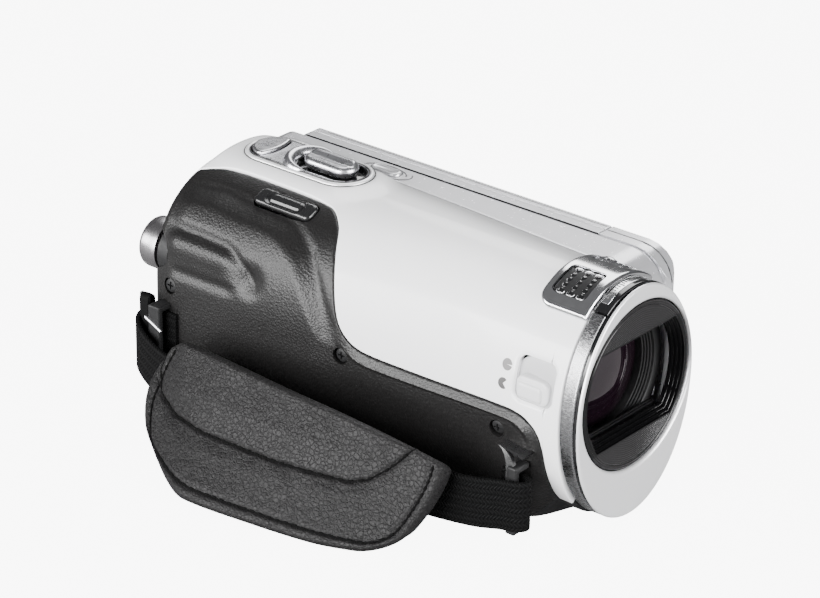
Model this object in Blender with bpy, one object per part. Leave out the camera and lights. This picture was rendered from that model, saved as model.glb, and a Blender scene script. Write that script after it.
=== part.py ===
"""A compact flash camcorder, built as the separate pieces that come apart on a bench.

Every length is in millimetres. The layout frame has the lens axis at x = 0 and z = LENS_Z, the
bezel's front face at y = 0 and the base at z = 0: +x is the side of the folding screen, +y is
backwards and +z is up. place() turns a layout point into metres about the model's own origin,
which lies on the base under the middle of the whole object.
"""

import math

import bmesh
import bpy
from mathutils import Matrix, Vector

MM = 0.001
ORIGIN_X = -17.175
ORIGIN_Y = 62.3

# Driving dimensions of the housing.
LENS_Z = 32.0
CORE_Z = 28.3
FACE_X = -0.6
FACE_HALF_WIDTH = 20.86
FACE_HALF_HEIGHT = 27.5
DECK_Z = 53.0
WALL_X = 21.1
BODY_FRONT = 5.4
BODY_REAR = 119.4
REAR_ROUND = 3.0
GRIP_FRONT = 9.6
WALL = 1.9
GRIP_WALL = 2.2
GAP = 0.3
SEAM_HALF = 0.45  # half of the gap between two shells, in degrees about the core

# The folding screen.
PANEL_X = (21.4, 26.5)
PANEL_Z = (9.0, 52.8)
PANEL_SPLIT_X = 24.05
HINGE_X = 23.95
HINGE_Y = 11.6
ARM_REAR = 27.4
PANEL_REAR = 115.6
SHAFT_Z = (PANEL_Z[0] + PANEL_Z[1]) / 2
LUG_Z = (20.0, 37.0)
LUG_HEIGHT = 5.0

# The lens opening and its shutter leaves.
WINDOW_HALF_WIDTH = 13.0
WINDOW_HALF_HEIGHT = 9.75
WINDOW_STEP = 0.65
WINDOW_STEP_BACKS = (1.3, 2.0, 2.7, 5.0)
SHIELD_RADIUS = 19.5
LEAF_HEIGHT = 5.2
LEAF_OPEN = 10.0

# The controls.
ISLAND_X = 3.5
ISLAND_Y = 97.8
ISLAND_HALF_WIDTH = 7.6
ISLAND_HALF_LENGTH = 17.8
LEVER_Y = 91.0
MODE_Y = 111.0
PHOTO = (16.4, 85.5)
POWER = (40.0, 42.0)
RECORD_X = -20.3
RECORD_Z = 36.2
RECORD_RADIUS = 6.2
RECORD_BACK = 119.3
SWITCH_Y = 12.95
SWITCH_Z = 34.4
JACK_X = (-15.3, -10.7)
JACK_Y = (81.7, 98.7)
JACK_LIFT = 0.5
JACK_HINGE_Z = 52.3

# Inside and underneath.
BATTERY_X = (-11.5, 12.5)
BATTERY_Y = (54.0, 110.0)
DOOR_X = (-13.0, 14.0)
DOOR_Y = (51.0, 113.0)
TRIPOD_Y = 36.0
CARD_Y = (20.0, 48.0)
BOARD_X = (16.7, 17.9)
ROD_X = 10.2

# The edge between the white cover and the grip cover: (y, angle about the core in degrees).
GRIP_SEAM = (
    (9.5, 236.0), (9.8, 204.0), (10.1, 198.5), (10.8, 192.0), (12.6, 186.0), (15.9, 181.2),
    (19.5, 179.8), (35.6, 180.0), (51.5, 179.0), (57.9, 177.8), (61.1, 175.9), (63.7, 172.1),
    (65.7, 166.5), (67.0, 159.3), (68.2, 151.0), (70.4, 139.0), (74.5, 123.8), (80.4, 116.0),
    (86.0, 115.3), (105.0, 115.6), (111.4, 116.5), (119.4, 123.5),
)
BOTTOM_LEFT = 236.0
BOTTOM_RIGHT = 303.0

MATERIALS = {
    "pearl_white": ((0.86, 0.86, 0.87), 0.18, 0.0, 1.0),
    "silver_paint": ((0.66, 0.66, 0.68), 0.28, 0.3, 1.0),
    "bezel_silver": ((0.83, 0.83, 0.84), 0.35, 0.6, 1.0),
    "ring_metal": ((0.55, 0.55, 0.56), 0.4, 1.0, 1.0),
    "chrome": ((0.80, 0.80, 0.82), 0.08, 1.0, 1.0),
    "grip_black": ((0.035, 0.034, 0.035), 0.5, 0.0, 1.0),
    "gloss_black": ((0.01, 0.01, 0.012), 0.12, 0.0, 1.0),
    "matte_black": ((0.02, 0.02, 0.02), 0.6, 0.0, 1.0),
    "gunmetal": ((0.22, 0.21, 0.21), 0.3, 1.0, 1.0),
    "steel": ((0.6, 0.6, 0.62), 0.3, 1.0, 1.0),
    "lens_glass": ((0.10, 0.08, 0.11), 0.03, 0.0, 0.35),
    "screen_glass": ((0.02, 0.02, 0.025), 0.05, 0.0, 1.0),
    "board_green": ((0.03, 0.16, 0.08), 0.45, 0.0, 1.0),
    "sensor_dark": ((0.06, 0.07, 0.12), 0.15, 0.2, 1.0),
    "battery_grey": ((0.12, 0.12, 0.13), 0.55, 0.0, 1.0),
    "card_blue": ((0.05, 0.08, 0.2), 0.45, 0.0, 1.0),
    "rubber": ((0.018, 0.018, 0.018), 0.7, 0.0, 1.0),
    "leather": ((0.055, 0.052, 0.055), 0.55, 0.0, 1.0),
    "webbing": ((0.015, 0.015, 0.016), 0.85, 0.0, 1.0),
}


# ------------------------------------------------------------------ frame, materials, objects


def place(x, y, z):
    """A layout point in millimetres as a point in metres about the model's origin."""
    return Vector((x - ORIGIN_X, y - ORIGIN_Y, z)) * MM


def clear_scene():
    for old in list(bpy.data.objects):
        bpy.data.objects.remove(old)


def material(name):
    found = bpy.data.materials.get(name)
    if found:
        return found
    colour, roughness, metallic, alpha = MATERIALS[name]
    made = bpy.data.materials.new(name)
    made.use_nodes = True
    shader = made.node_tree.nodes["Principled BSDF"]
    shader.inputs["Base Color"].default_value = (*colour, 1.0)
    shader.inputs["Roughness"].default_value = roughness
    shader.inputs["Metallic"].default_value = metallic
    shader.inputs["Alpha"].default_value = alpha
    return made


def own_material(node, look):
    """A copy of a named look, so that each piece has a material of its own."""
    made = material(look).copy()
    made.name = node + "_" + look
    return made


def finish(bm, name, look, pivot=None, smooth=35.0):
    """Makes an object from a bmesh in metres, with its origin on the pivot if it moves."""
    bmesh.ops.remove_doubles(bm, verts=bm.verts, dist=1e-7)
    bmesh.ops.recalc_face_normals(bm, faces=bm.faces)
    mesh = bpy.data.meshes.new(name)
    if pivot is not None:
        bmesh.ops.translate(bm, verts=bm.verts, vec=-pivot)
    bm.to_mesh(mesh)
    bm.free()
    mesh.shade_smooth()
    mesh.set_sharp_from_angle(angle=math.radians(smooth))
    obj = bpy.data.objects.new(name, mesh)
    bpy.context.scene.collection.objects.link(obj)
    if look is not None:
        mesh.materials.append(own_material(name, look))
    if pivot is not None:
        obj.location = pivot
    return obj


def boolean(obj, tool, operation="DIFFERENCE"):
    """Cuts obj by tool, or joins or intersects them, and hides the tool from the model."""
    tool.hide_render = True
    tool.display_type = "WIRE"
    change = obj.modifiers.new(tool.name, "BOOLEAN")
    change.operation = operation
    change.solver = "EXACT"
    change.object = tool
    return obj


# ------------------------------------------------------------------ curves and outlines


def ramp(start, end, value):
    """0 before start, 1 after end, with a smooth step between."""
    t = min(max((value - start) / (end - start), 0.0), 1.0)
    return t * t * (3.0 - 2.0 * t)


def along(knots, value):
    """A smooth curve through (position, height) knots that never overshoots them."""
    xs = [k[0] for k in knots]
    ys = [k[1] for k in knots]
    if value <= xs[0]:
        return ys[0]
    if value >= xs[-1]:
        return ys[-1]
    slopes = [(ys[i + 1] - ys[i]) / (xs[i + 1] - xs[i]) for i in range(len(xs) - 1)]
    tangents = [slopes[0]]
    for before, after in zip(slopes, slopes[1:]):
        tangents.append(0.0 if before * after <= 0 else 2 * before * after / (before + after))
    tangents.append(slopes[-1])
    i = max(k for k in range(len(xs) - 1) if xs[k] <= value)
    span = xs[i + 1] - xs[i]
    t = (value - xs[i]) / span
    return (
        (2 * t**3 - 3 * t**2 + 1) * ys[i] + (t**3 - 2 * t**2 + t) * span * tangents[i]
        + (3 * t**2 - 2 * t**3) * ys[i + 1] + (t**3 - t**2) * span * tangents[i + 1]
    )


def arc(centre, radius, start, end, steps):
    """Points on an arc in a plane, angles in degrees, both ends included."""
    turns = [math.radians(start + (end - start) * k / steps) for k in range(steps + 1)]
    return [(centre[0] + radius * math.cos(t), centre[1] + radius * math.sin(t)) for t in turns]


def circle(centre, radius, count):
    return arc(centre, radius, 0.0, 360.0 * (count - 1) / count, count - 1)


def rounded_rectangle(low, high, radii, steps=4):
    """Corners in the order low-low, high-low, high-high, low-high, each with its own radius."""
    if not isinstance(radii, (tuple, list)):
        radii = (radii,) * 4
    corners = (
        (low[0], low[1], 1, 1, 180.0), (high[0], low[1], -1, 1, 270.0),
        (high[0], high[1], -1, -1, 0.0), (low[0], high[1], 1, -1, 90.0),
    )
    points = []
    for (a, b, da, db, start), radius in zip(corners, radii):
        if radius <= 0:
            points.append((a, b))
        else:
            points += arc((a + da * radius, b + db * radius), radius, start, start + 90.0, steps)
    return points


def stadium(centre, half_width, half_length, steps=8):
    """A slot outline, long in its second coordinate."""
    straight = half_length - half_width
    return arc((centre[0], centre[1] + straight), half_width, 0.0, 180.0, steps) + arc(
        (centre[0], centre[1] - straight), half_width, 180.0, 360.0, steps
    )


# ------------------------------------------------------------------ solids

AXES = {
    "x": lambda a, b, depth: place(depth, a, b),
    "y": lambda a, b, depth: place(a, depth, b),
    "z": lambda a, b, depth: place(a, b, depth),
}


def prism(name, outline, axis, low, high, look, pivot=None):
    """Extrudes an outline along an axis. The outline's coordinates are the other two axes."""
    return stack(name, ((low, outline), (high, outline)), axis, look, pivot)


def stack(name, outlines, axis, look, pivot=None):
    """Joins outlines of equal length, each given with its depth along the axis, into one solid."""
    bm = bmesh.new()
    rings = []
    for depth, points in outlines:
        rings.append([bm.verts.new(AXES[axis](a, b, depth)) for a, b in points])
    count = len(rings[0])
    bm.faces.new(rings[0])
    bm.faces.new(rings[-1])
    for lower, upper in zip(rings, rings[1:]):
        for i in range(count):
            j = (i + 1) % count
            bm.faces.new((lower[i], lower[j], upper[j], upper[i]))
    return finish(bm, name, look, pivot)


def block(name, low, high, look, pivot=None):
    outline = rounded_rectangle((low[0], low[1]), (high[0], high[1]), 0.0)
    return prism(name, outline, "z", low[2], high[2], look, pivot)


def lathe(name, profile, axis, centre, look, segments=32, pivot=None):
    """Turns a profile of (position along the axis, radius) points. Radius 0 ends close it."""
    bm = bmesh.new()
    rings = []
    for depth, radius in profile:
        if radius == 0.0:
            rings.append([bm.verts.new(AXES[axis](centre[0], centre[1], depth))])
        else:
            points = circle(centre, radius, segments)
            rings.append([bm.verts.new(AXES[axis](a, b, depth)) for a, b in points])
    pairs = list(zip(rings, rings[1:]))
    if profile[0][1] > 0.0:
        pairs.append((rings[-1], rings[0]))
    for ring, following in pairs:
        for i in range(segments):
            j = (i + 1) % segments
            if len(ring) == 1:
                bm.faces.new((ring[0], following[i], following[j]))
            elif len(following) == 1:
                bm.faces.new((ring[i], ring[j], following[0]))
            else:
                bm.faces.new((ring[i], ring[j], following[j], following[i]))
    return finish(bm, name, look, pivot)


def disc_profile(low, high, radius, edge=0.0):
    """The profile of a plain disc or rod with chamfered ends."""
    if edge == 0.0:
        return ((low, 0.0), (low, radius), (high, radius), (high, 0.0))
    return (
        (low, 0.0), (low, radius - edge), (low + edge, radius),
        (high - edge, radius), (high, radius - edge), (high, 0.0),
    )


def grid_shell(name, outer, inner, look, pivot=None):
    """A closed shell between two grids of points of the same size, open grids on all four sides."""
    bm = bmesh.new()
    layers = [[[bm.verts.new(place(*p)) for p in row] for row in grid] for grid in (outer, inner)]
    rows, columns = len(outer), len(outer[0])
    for layer in layers:
        for i in range(rows - 1):
            for j in range(columns - 1):
                bm.faces.new((layer[i][j], layer[i][j + 1], layer[i + 1][j + 1], layer[i + 1][j]))
    top, under = layers
    border = [(0, j) for j in range(columns)] + [(i, columns - 1) for i in range(1, rows)]
    border += [(rows - 1, j) for j in range(columns - 2, -1, -1)]
    border += [(i, 0) for i in range(rows - 2, 0, -1)]
    for (a, b), (c, d) in zip(border, border[1:] + border[:1]):
        bm.faces.new((top[a][b], top[c][d], under[c][d], under[a][b]))
    return finish(bm, name, look, pivot)


# ------------------------------------------------------------------ the housing's outer form


def deck_height(y):
    """The silver deck is flat and rounds down at its front end."""
    radius, start = 9.0, 18.0
    if y >= start:
        return DECK_Z
    back = min(start - y, radius)
    return DECK_Z - radius + math.sqrt(radius**2 - back**2)


def section(y):
    """Core x, left edge, top, and the fullness of the upper and lower corners at a station."""
    core_x = FACE_X + 4.6 * ramp(15.0, 105.0, y)
    left = FACE_X - FACE_HALF_WIDTH - 5.2 * ramp(25.0, 110.0, y)
    top = CORE_Z + FACE_HALF_HEIGHT - 0.5 * ramp(15.0, 105.0, y)
    upper = 2.0 + 0.6 * ramp(5.0, 90.0, y)
    lower = 2.2 + 3.8 * ramp(9.0, 17.0, y)
    return core_x, left, top, upper, lower


def barrel_radius(y, angle):
    """Distance from the core to the rounded barrel, without the flat deck beside it."""
    core_x, left, top, upper, lower = section(y)
    c, s = math.cos(angle), math.sin(angle)
    width = core_x - left if c < 0 else WALL_X - core_x
    height = top - CORE_Z if s > 0 else CORE_Z + 1.2 * ramp(9.0, 17.0, y) - 0.8
    power = upper if s > 0 else lower
    radius = ((abs(c) / width) ** power + (abs(s) / height) ** power) ** (-1.0 / power)
    if s < -0.1:
        radius = min(radius, CORE_Z / -s)
    return radius


def skin_radius(y, angle):
    """Distance from the core to the outer surface of the whole housing."""
    radius = barrel_radius(y, angle)
    c, s = math.cos(angle), math.sin(angle)
    if c > 1e-6 and s > 1e-6:
        beside = (WALL_X - section(y)[0]) / c
        above = (deck_height(y) - CORE_Z) / s
        radius = max(radius, min(beside, above))
    return radius


def rear_inset(y):
    """How far the outer surface draws in as it rounds over to the rear face."""
    start = BODY_REAR + 0.6 - REAR_ROUND
    if y <= start:
        return 0.0
    return REAR_ROUND - math.sqrt(max(REAR_ROUND**2 - (y - start) ** 2, 0.0))


def skin(y, degrees, inset=0.0):
    """A point of the outer surface, or this far inside it."""
    angle = math.radians(degrees)
    drawn_in = rear_inset(y) if inset >= 0 else inset
    radius = skin_radius(y, angle) - max(inset, drawn_in)
    return section(y)[0] + radius * math.cos(angle), y, CORE_Z + radius * math.sin(angle)


def crease(y):
    """The angle, in degrees, where the barrel meets the flat deck."""
    low, high = 20.0, 88.0
    for _ in range(40):
        middle = (low + high) / 2
        angle = math.radians(middle)
        flat = (deck_height(y) - CORE_Z) / math.sin(angle)
        if barrel_radius(y, angle) < flat:
            low = middle
        else:
            high = middle
    return (low + high) / 2


def deck_corner(y):
    """The angle of the edge between the deck and the flat side wall."""
    return math.degrees(math.atan2(deck_height(y) - CORE_Z, WALL_X - section(y)[0]))


def spread(first, last, count):
    return [first + (last - first) * k / (count - 1) for k in range(count)]


def shell(name, stations, angles, look, wall=WALL, lift=0.0):
    """A cover cut from the housing's skin: angles(y) lists its columns at each station."""
    outer = [[skin(y, a, -lift) for a in angles(y)] for y in stations]
    inner = [[skin(y, a, wall - lift) for a in angles(y)] for y in stations]
    return grid_shell(name, outer, inner, look)


# ------------------------------------------------------------------ housing covers

STATIONS = (
    5.4, 7.6, 9.6, 9.8, 10.1, 10.8, 12.6, 15.9, 19.5, 25.0, 34.0, 44.0, 54.0, 60.0,
    63.4, 65.2, 66.2, 67.2, 68.6, 70.6, 73.5, 77.0, 81.0, 86.0, 95.0, 104.0, 111.0, 115.0,
    117.0, 118.2, 119.0, 119.4,
)
PLAIN_STATIONS = (
    5.4, 7.2, 9.0, 10.2, 12.3, 15.0, 17.0, 20.0, 25.0, 34.0, 46.0, 60.0, 75.0, 90.0, 105.0, 113.0,
    117.0, 118.2, 119.0, 119.4,
)

def white_columns(y):
    return spread(crease(y) + SEAM_HALF, along(GRIP_SEAM, y) - SEAM_HALF, 15)


def grip_columns(y):
    return spread(along(GRIP_SEAM, y) + SEAM_HALF, BOTTOM_LEFT - SEAM_HALF, 12)


def side_columns(y):
    corner = deck_corner(y)
    deck = spread(crease(y) - SEAM_HALF, corner, 4)
    wall = spread(corner, -30.0, 4)[1:]
    return deck + wall + spread(-30.0, BOTTOM_RIGHT - 360.0 + SEAM_HALF, 7)[1:]


def base_columns(y):
    return spread(BOTTOM_LEFT + SEAM_HALF, BOTTOM_RIGHT - SEAM_HALF, 13)


def record_recess():
    """The round pocket for the record button, through the rear left edge of the housing."""
    profile = disc_profile(114.6, 130.0, RECORD_RADIUS + 0.6)
    return lathe("record_recess", profile, "y", (RECORD_X, RECORD_Z), None, 28)


# Where the three grip screws stand: station and angle on the skin.
SCREW_PLACES = (("front", 21.5, 194.2), ("middle", 64.6, 183.0), ("rear", 113.2, 176.1))


def radial(y, degrees, depth):
    """A matrix that takes local +Z to the outward direction at a point of the skin."""
    origin = place(*skin(y, degrees, depth))
    turn = Matrix.Rotation(math.radians(90.0 - degrees), 4, "Y")
    return Matrix.Translation(origin) @ turn


def radial_disc(name, y, degrees, profile, look, segments=16):
    """A small turned piece that stands square on the skin; its profile is (height, radius)."""
    bm = bmesh.new()
    rings = []
    for height, radius in profile:
        points = [(0.0, 0.0)] if radius == 0.0 else circle((0.0, 0.0), radius, segments)
        rings.append([bm.verts.new(Vector((a, b, height)) * MM) for a, b in points])
    for ring, following in zip(rings, rings[1:]):
        for i in range(segments):
            j = (i + 1) % segments
            if len(ring) == 1:
                bm.faces.new((ring[0], following[i], following[j]))
            elif len(following) == 1:
                bm.faces.new((ring[i], ring[j], following[0]))
            else:
                bm.faces.new((ring[i], ring[j], following[j], following[i]))
    bm.transform(radial(y, degrees, 0.0))
    return finish(bm, name, look)


def build_housing():
    back_stations = [y for y in STATIONS if y >= GRIP_FRONT]
    white = shell("top_cover", STATIONS, white_columns, "pearl_white")
    boolean(white, prism("switch_hole", switch_outline(0.0), "x", -30.0, -12.0, None))
    well = stadium((ISLAND_X, ISLAND_Y), ISLAND_HALF_WIDTH - 1.6, ISLAND_HALF_LENGTH - 1.6)
    boolean(white, prism("island_hole", well, "z", 45.0, 60.0, None))

    grip = shell("grip_cover", back_stations, grip_columns, "grip_black", wall=GRIP_WALL)
    recess = record_recess()
    through = disc_profile(-4.0, 2.0, 2.0)
    for place_name, y, degrees in SCREW_PLACES:
        boolean(grip, radial_disc("screw_hole_" + place_name, y, degrees, through, None))
    boolean(grip, recess)
    boolean(grip, prism("jack_pocket", jack_outline(-GAP), "z", 44.0, 60.0, None))

    side = shell("side_cover", PLAIN_STATIONS, side_columns, "silver_paint")
    boolean(side, prism("photo_hole", stadium(PHOTO, 2.2, 4.6), "z", 48.0, 58.0, None))
    boolean(side, lathe("power_hole", disc_profile(15.0, 24.0, 3.0), "x", POWER, None, 20))
    for low in LUG_Z:
        corner = (24.0, 14.6, low + LUG_HEIGHT + GAP)
        boolean(side, block("hinge_slot_%d" % low, (15.0, 8.7, low - GAP), corner, None))

    base = shell("bottom_cover", PLAIN_STATIONS, base_columns, "matte_black")
    door_hole = block(
        "door_hole", (DOOR_X[0] - GAP, DOOR_Y[0] - GAP, -2.0),
        (DOOR_X[1] + GAP, DOOR_Y[1] + GAP, 2.35), None,
    )
    boolean(base, door_hole)
    boolean(base, lathe("tripod_hole", disc_profile(-1.0, 6.0, 5.3), "z", (0.0, TRIPOD_Y), None, 24))

    def section_outline(inset, count=48):
        points = [skin(112.0, 360.0 * k / count, inset) for k in range(count)]
        return [(x, z) for x, _, z in points]

    rim, face = section_outline(2.75), section_outline(3.8)
    rear = stack("rear_cover", ((117.4, rim), (119.2, rim), (119.95, face)), "y", "silver_paint")
    boolean(rear, recess)

    plate = block("inner_frame", (-17.0, 15.0, 14.7), (17.0, 112.0, 15.9), "steel")
    for y in (30.0, 60.0, 90.0):
        hole = lathe("frame_hole_%d" % y, disc_profile(10.0, 20.0, 5.0), "z", (0.0, y), None, 16)
        boolean(plate, hole)


def build_front():
    """Bezel, groove ring and metal ring, with the lens shield inside them."""

    def oval(inset, count=48, centre=(FACE_X, CORE_Z)):
        points = []
        for k in range(count):
            turn = 2 * math.pi * k / count
            points.append((
                centre[0] + (FACE_HALF_WIDTH - inset) * math.cos(turn),
                centre[1] + (FACE_HALF_HEIGHT - inset) * math.sin(turn),
            ))
        return points

    def window(radius, count=48):
        """A circle about the lens axis with its points on the rays of the oval's points."""
        points = []
        for x, z in oval(0.0, count):
            turn = math.atan2(z - LENS_Z, x)
            points.append((radius * math.cos(turn), LENS_Z + radius * math.sin(turn)))
        return points

    def ring_solid(name, layers, look):
        """A ring whose section is a closed chain of (depth, outline) layers."""
        bm = bmesh.new()
        rings = [[bm.verts.new(place(a, depth, b)) for a, b in points] for depth, points in layers]
        count = len(rings[0])
        for ring, following in zip(rings, rings[1:] + rings[:1]):
            for i in range(count):
                j = (i + 1) % count
                bm.faces.new((ring[i], ring[j], following[j], following[i]))
        return finish(bm, name, look)

    ring_solid(
        "front_bezel",
        (
            (0.2, oval(0.0)), (0.0, oval(0.2)), (0.0, window(SHIELD_RADIUS + GAP)),
            (1.1, window(SHIELD_RADIUS + GAP)), (1.1, oval(0.0)),
        ),
        "bezel_silver",
    )
    ring_solid(
        "groove_ring",
        ((1.6, oval(1.0)), (1.6, window(18.4)), (4.4, window(18.4)), (4.4, oval(1.0))),
        "gloss_black",
    )

    def ring_sector(name, depths, first, last, columns, outer, inner, look):
        grids = []
        for inset in (outer, inner):
            grid = []
            for y in depths:
                row = []
                for degrees in spread(first, last, columns):
                    turn = math.radians(degrees)
                    row.append((
                        FACE_X + (FACE_HALF_WIDTH - inset) * math.cos(turn), y,
                        CORE_Z + (FACE_HALF_HEIGHT - inset) * math.sin(turn),
                    ))
                grid.append(row)
            grids.append(grid)
        return grid_shell(name, grids[0], grids[1], look)

    ring_sector("front_ring", (1.6, 5.1), 120.0, 420.0, 45, 0.0, 0.7, "ring_metal")
    ring_sector("mic_band", (1.4, 3.2, 5.1), 61.0, 119.0, 13, -0.2, 0.7, "gloss_black")

    shield = lathe(
        "lens_shield",
        (
            (0.6, 0.0), (0.6, SHIELD_RADIUS - 0.2), (0.8, SHIELD_RADIUS), (1.3, SHIELD_RADIUS),
            (1.3, 18.1), (3.4, 18.1), (3.4, 0.0),
        ),
        "y", (0.0, LENS_Z), "gloss_black", 48,
    )
    for k, back in enumerate(WINDOW_STEP_BACKS):
        spare = WINDOW_STEP * (len(WINDOW_STEP_BACKS) - 1 - k)
        half_width, half_height = WINDOW_HALF_WIDTH + spare, WINDOW_HALF_HEIGHT + spare
        outline = rounded_rectangle(
            (-half_width, LENS_Z - half_height), (half_width, LENS_Z + half_height), 2.0, 3
        )
        boolean(shield, prism("window_step_%d" % k, outline, "y", -2.0, back, None))

    stations = (5.4, 6.2, 9.0, 12.0, 15.0, 17.6, 18.6)
    angles = spread(64.5, 118.7, 15)
    lifts = [0.55 if y in (stations[0], stations[-1]) else 1.0 for y in stations]
    outer = [[mic_point(y, a, lift) for a in angles] for y, lift in zip(stations, lifts)]
    under = [[mic_point(y, a, GAP) for a in angles] for y in stations]
    saddle = grid_shell("mic_cover", outer, under, "chrome")
    for side_name, first, last in (("left", 93.0, 112.0), ("right", 68.0, 82.0)):
        cutter = mic_plate("mic_window_" + side_name, first, last, 7.6, 16.8, -0.4, 2.0, None)
        boolean(saddle, cutter)
        name = "mic_grille_" + side_name
        mic_plate(name, first + 0.8, last - 0.8, 7.9, 16.5, GAP, 0.75, "matte_black")
        capsule = disc_profile(-5.2, -3.2, 2.0)
        radial_disc("mic_capsule_" + side_name, 13.0, (first + last) / 2, capsule, "steel")


def mic_point(y, degrees, lift):
    """A point above the barrel, following the ring's oval in front and the skin behind it."""
    angle = math.radians(degrees)
    radius = skin_radius(max(y, BODY_FRONT), angle) + lift
    return section(y)[0] + radius * math.cos(angle), y, CORE_Z + radius * math.sin(angle)


def mic_plate(name, first, last, front, rear, low, high, look):
    stations = spread(front, rear, 3)
    angles = spread(first, last, 6)
    outer = [[mic_point(y, a, high) for a in angles] for y in stations]
    inner = [[mic_point(y, a, low) for a in angles] for y in stations]
    return grid_shell(name, outer, inner, look)


# ------------------------------------------------------------------ lens, shutter and its switch


def build_optics():
    axis = (0.0, LENS_Z)
    barrel = (
        (6.3, 17.2), (7.6, 17.2), (7.6, 15.4), (62.0, 15.4), (62.0, 13.9), (11.4, 13.9),
        (11.4, 13.0), (6.3, 13.0),
    )
    lathe("lens_barrel", barrel, "y", axis, "matte_black", 32)
    dome = ((6.9, 0.0), (7.3, 5.0), (8.2, 9.0), (9.6, 12.0), (10.6, 12.7), (11.1, 12.7), (11.1, 0.0))
    lathe("front_lens", dome, "y", axis, "lens_glass", 28)
    carriage = lathe(
        "zoom_lens_group",
        ((30.0, 0.0), (31.4, 6.5), (31.8, 12.9), (37.0, 12.9), (37.0, 6.0), (36.2, 0.0)),
        "y", axis, "matte_black", 24, pivot=place(0.0, 33.0, LENS_Z),
    )
    for name, side in (("left", -1), ("right", 1)):
        rod_axis = (side * ROD_X, LENS_Z)
        lathe("guide_rod_" + name, disc_profile(12.6, 61.4, 0.9), "y", rod_axis, "steel", 12)
        bore = lathe("rod_bore_" + name, disc_profile(25.0, 42.0, 1.2), "y", rod_axis, None, 16)
        boolean(carriage, bore)
    block("image_sensor", (-11.0, 62.6, LENS_Z - 11.0), (11.0, 65.0, LENS_Z + 11.0), "sensor_dark")

    for side, sign in (("upper", 1), ("lower", -1)):
        for leaf, depth in (("front", 4.6), ("rear", 5.35)):
            near = LENS_Z + sign * LEAF_OPEN
            far = near + sign * LEAF_HEIGHT
            half, cut = WINDOW_HALF_WIDTH + 0.3, 2.6
            outline = [
                (-half, near), (half, near), (half, far - sign * cut),
                (half - cut, far), (-half + cut, far), (-half, far - sign * cut),
            ]
            prism(
                "shutter_%s_%s" % (side, leaf), outline, "y", depth, depth + 0.5, "matte_black",
                pivot=place(0.0, depth, (near + far) / 2),
            )

    tray = prism("switch_tray", switch_outline(GAP), "x", -20.1, -18.9, "pearl_white")

    def switch_patch(half_y, below, above, radius):
        low = (SWITCH_Y - half_y, SWITCH_Z - below)
        return rounded_rectangle(low, (SWITCH_Y + half_y, SWITCH_Z + above), radius, 4)

    boolean(tray, prism("switch_slot", switch_patch(1.5, 2.4, 6.0, 1.0), "x", -25.0, -15.0, None))
    knob, top = switch_patch(4.3, 2.9, 2.9, 2.0), switch_patch(3.4, 2.1, 2.1, 1.4)
    layers = ((-20.4, knob), (-21.4, knob), (-21.9, top))
    switch = stack("lens_switch", layers, "x", "pearl_white", place(-20.5, SWITCH_Y, SWITCH_Z))
    stem = prism("switch_stem", switch_patch(1.1, 1.1, 1.1, 0.0), "x", -20.8, -18.0, None)
    boolean(switch, stem, "UNION")


def switch_outline(inset):
    """The lens switch's pocket in the side of the white cover: (y, z)."""
    return rounded_rectangle(
        (SWITCH_Y - 5.0 + inset, 31.2 + inset), (SWITCH_Y + 5.0 - inset, 41.2 - inset), 2.6 - inset, 4
    )


# ------------------------------------------------------------------ controls


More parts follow.
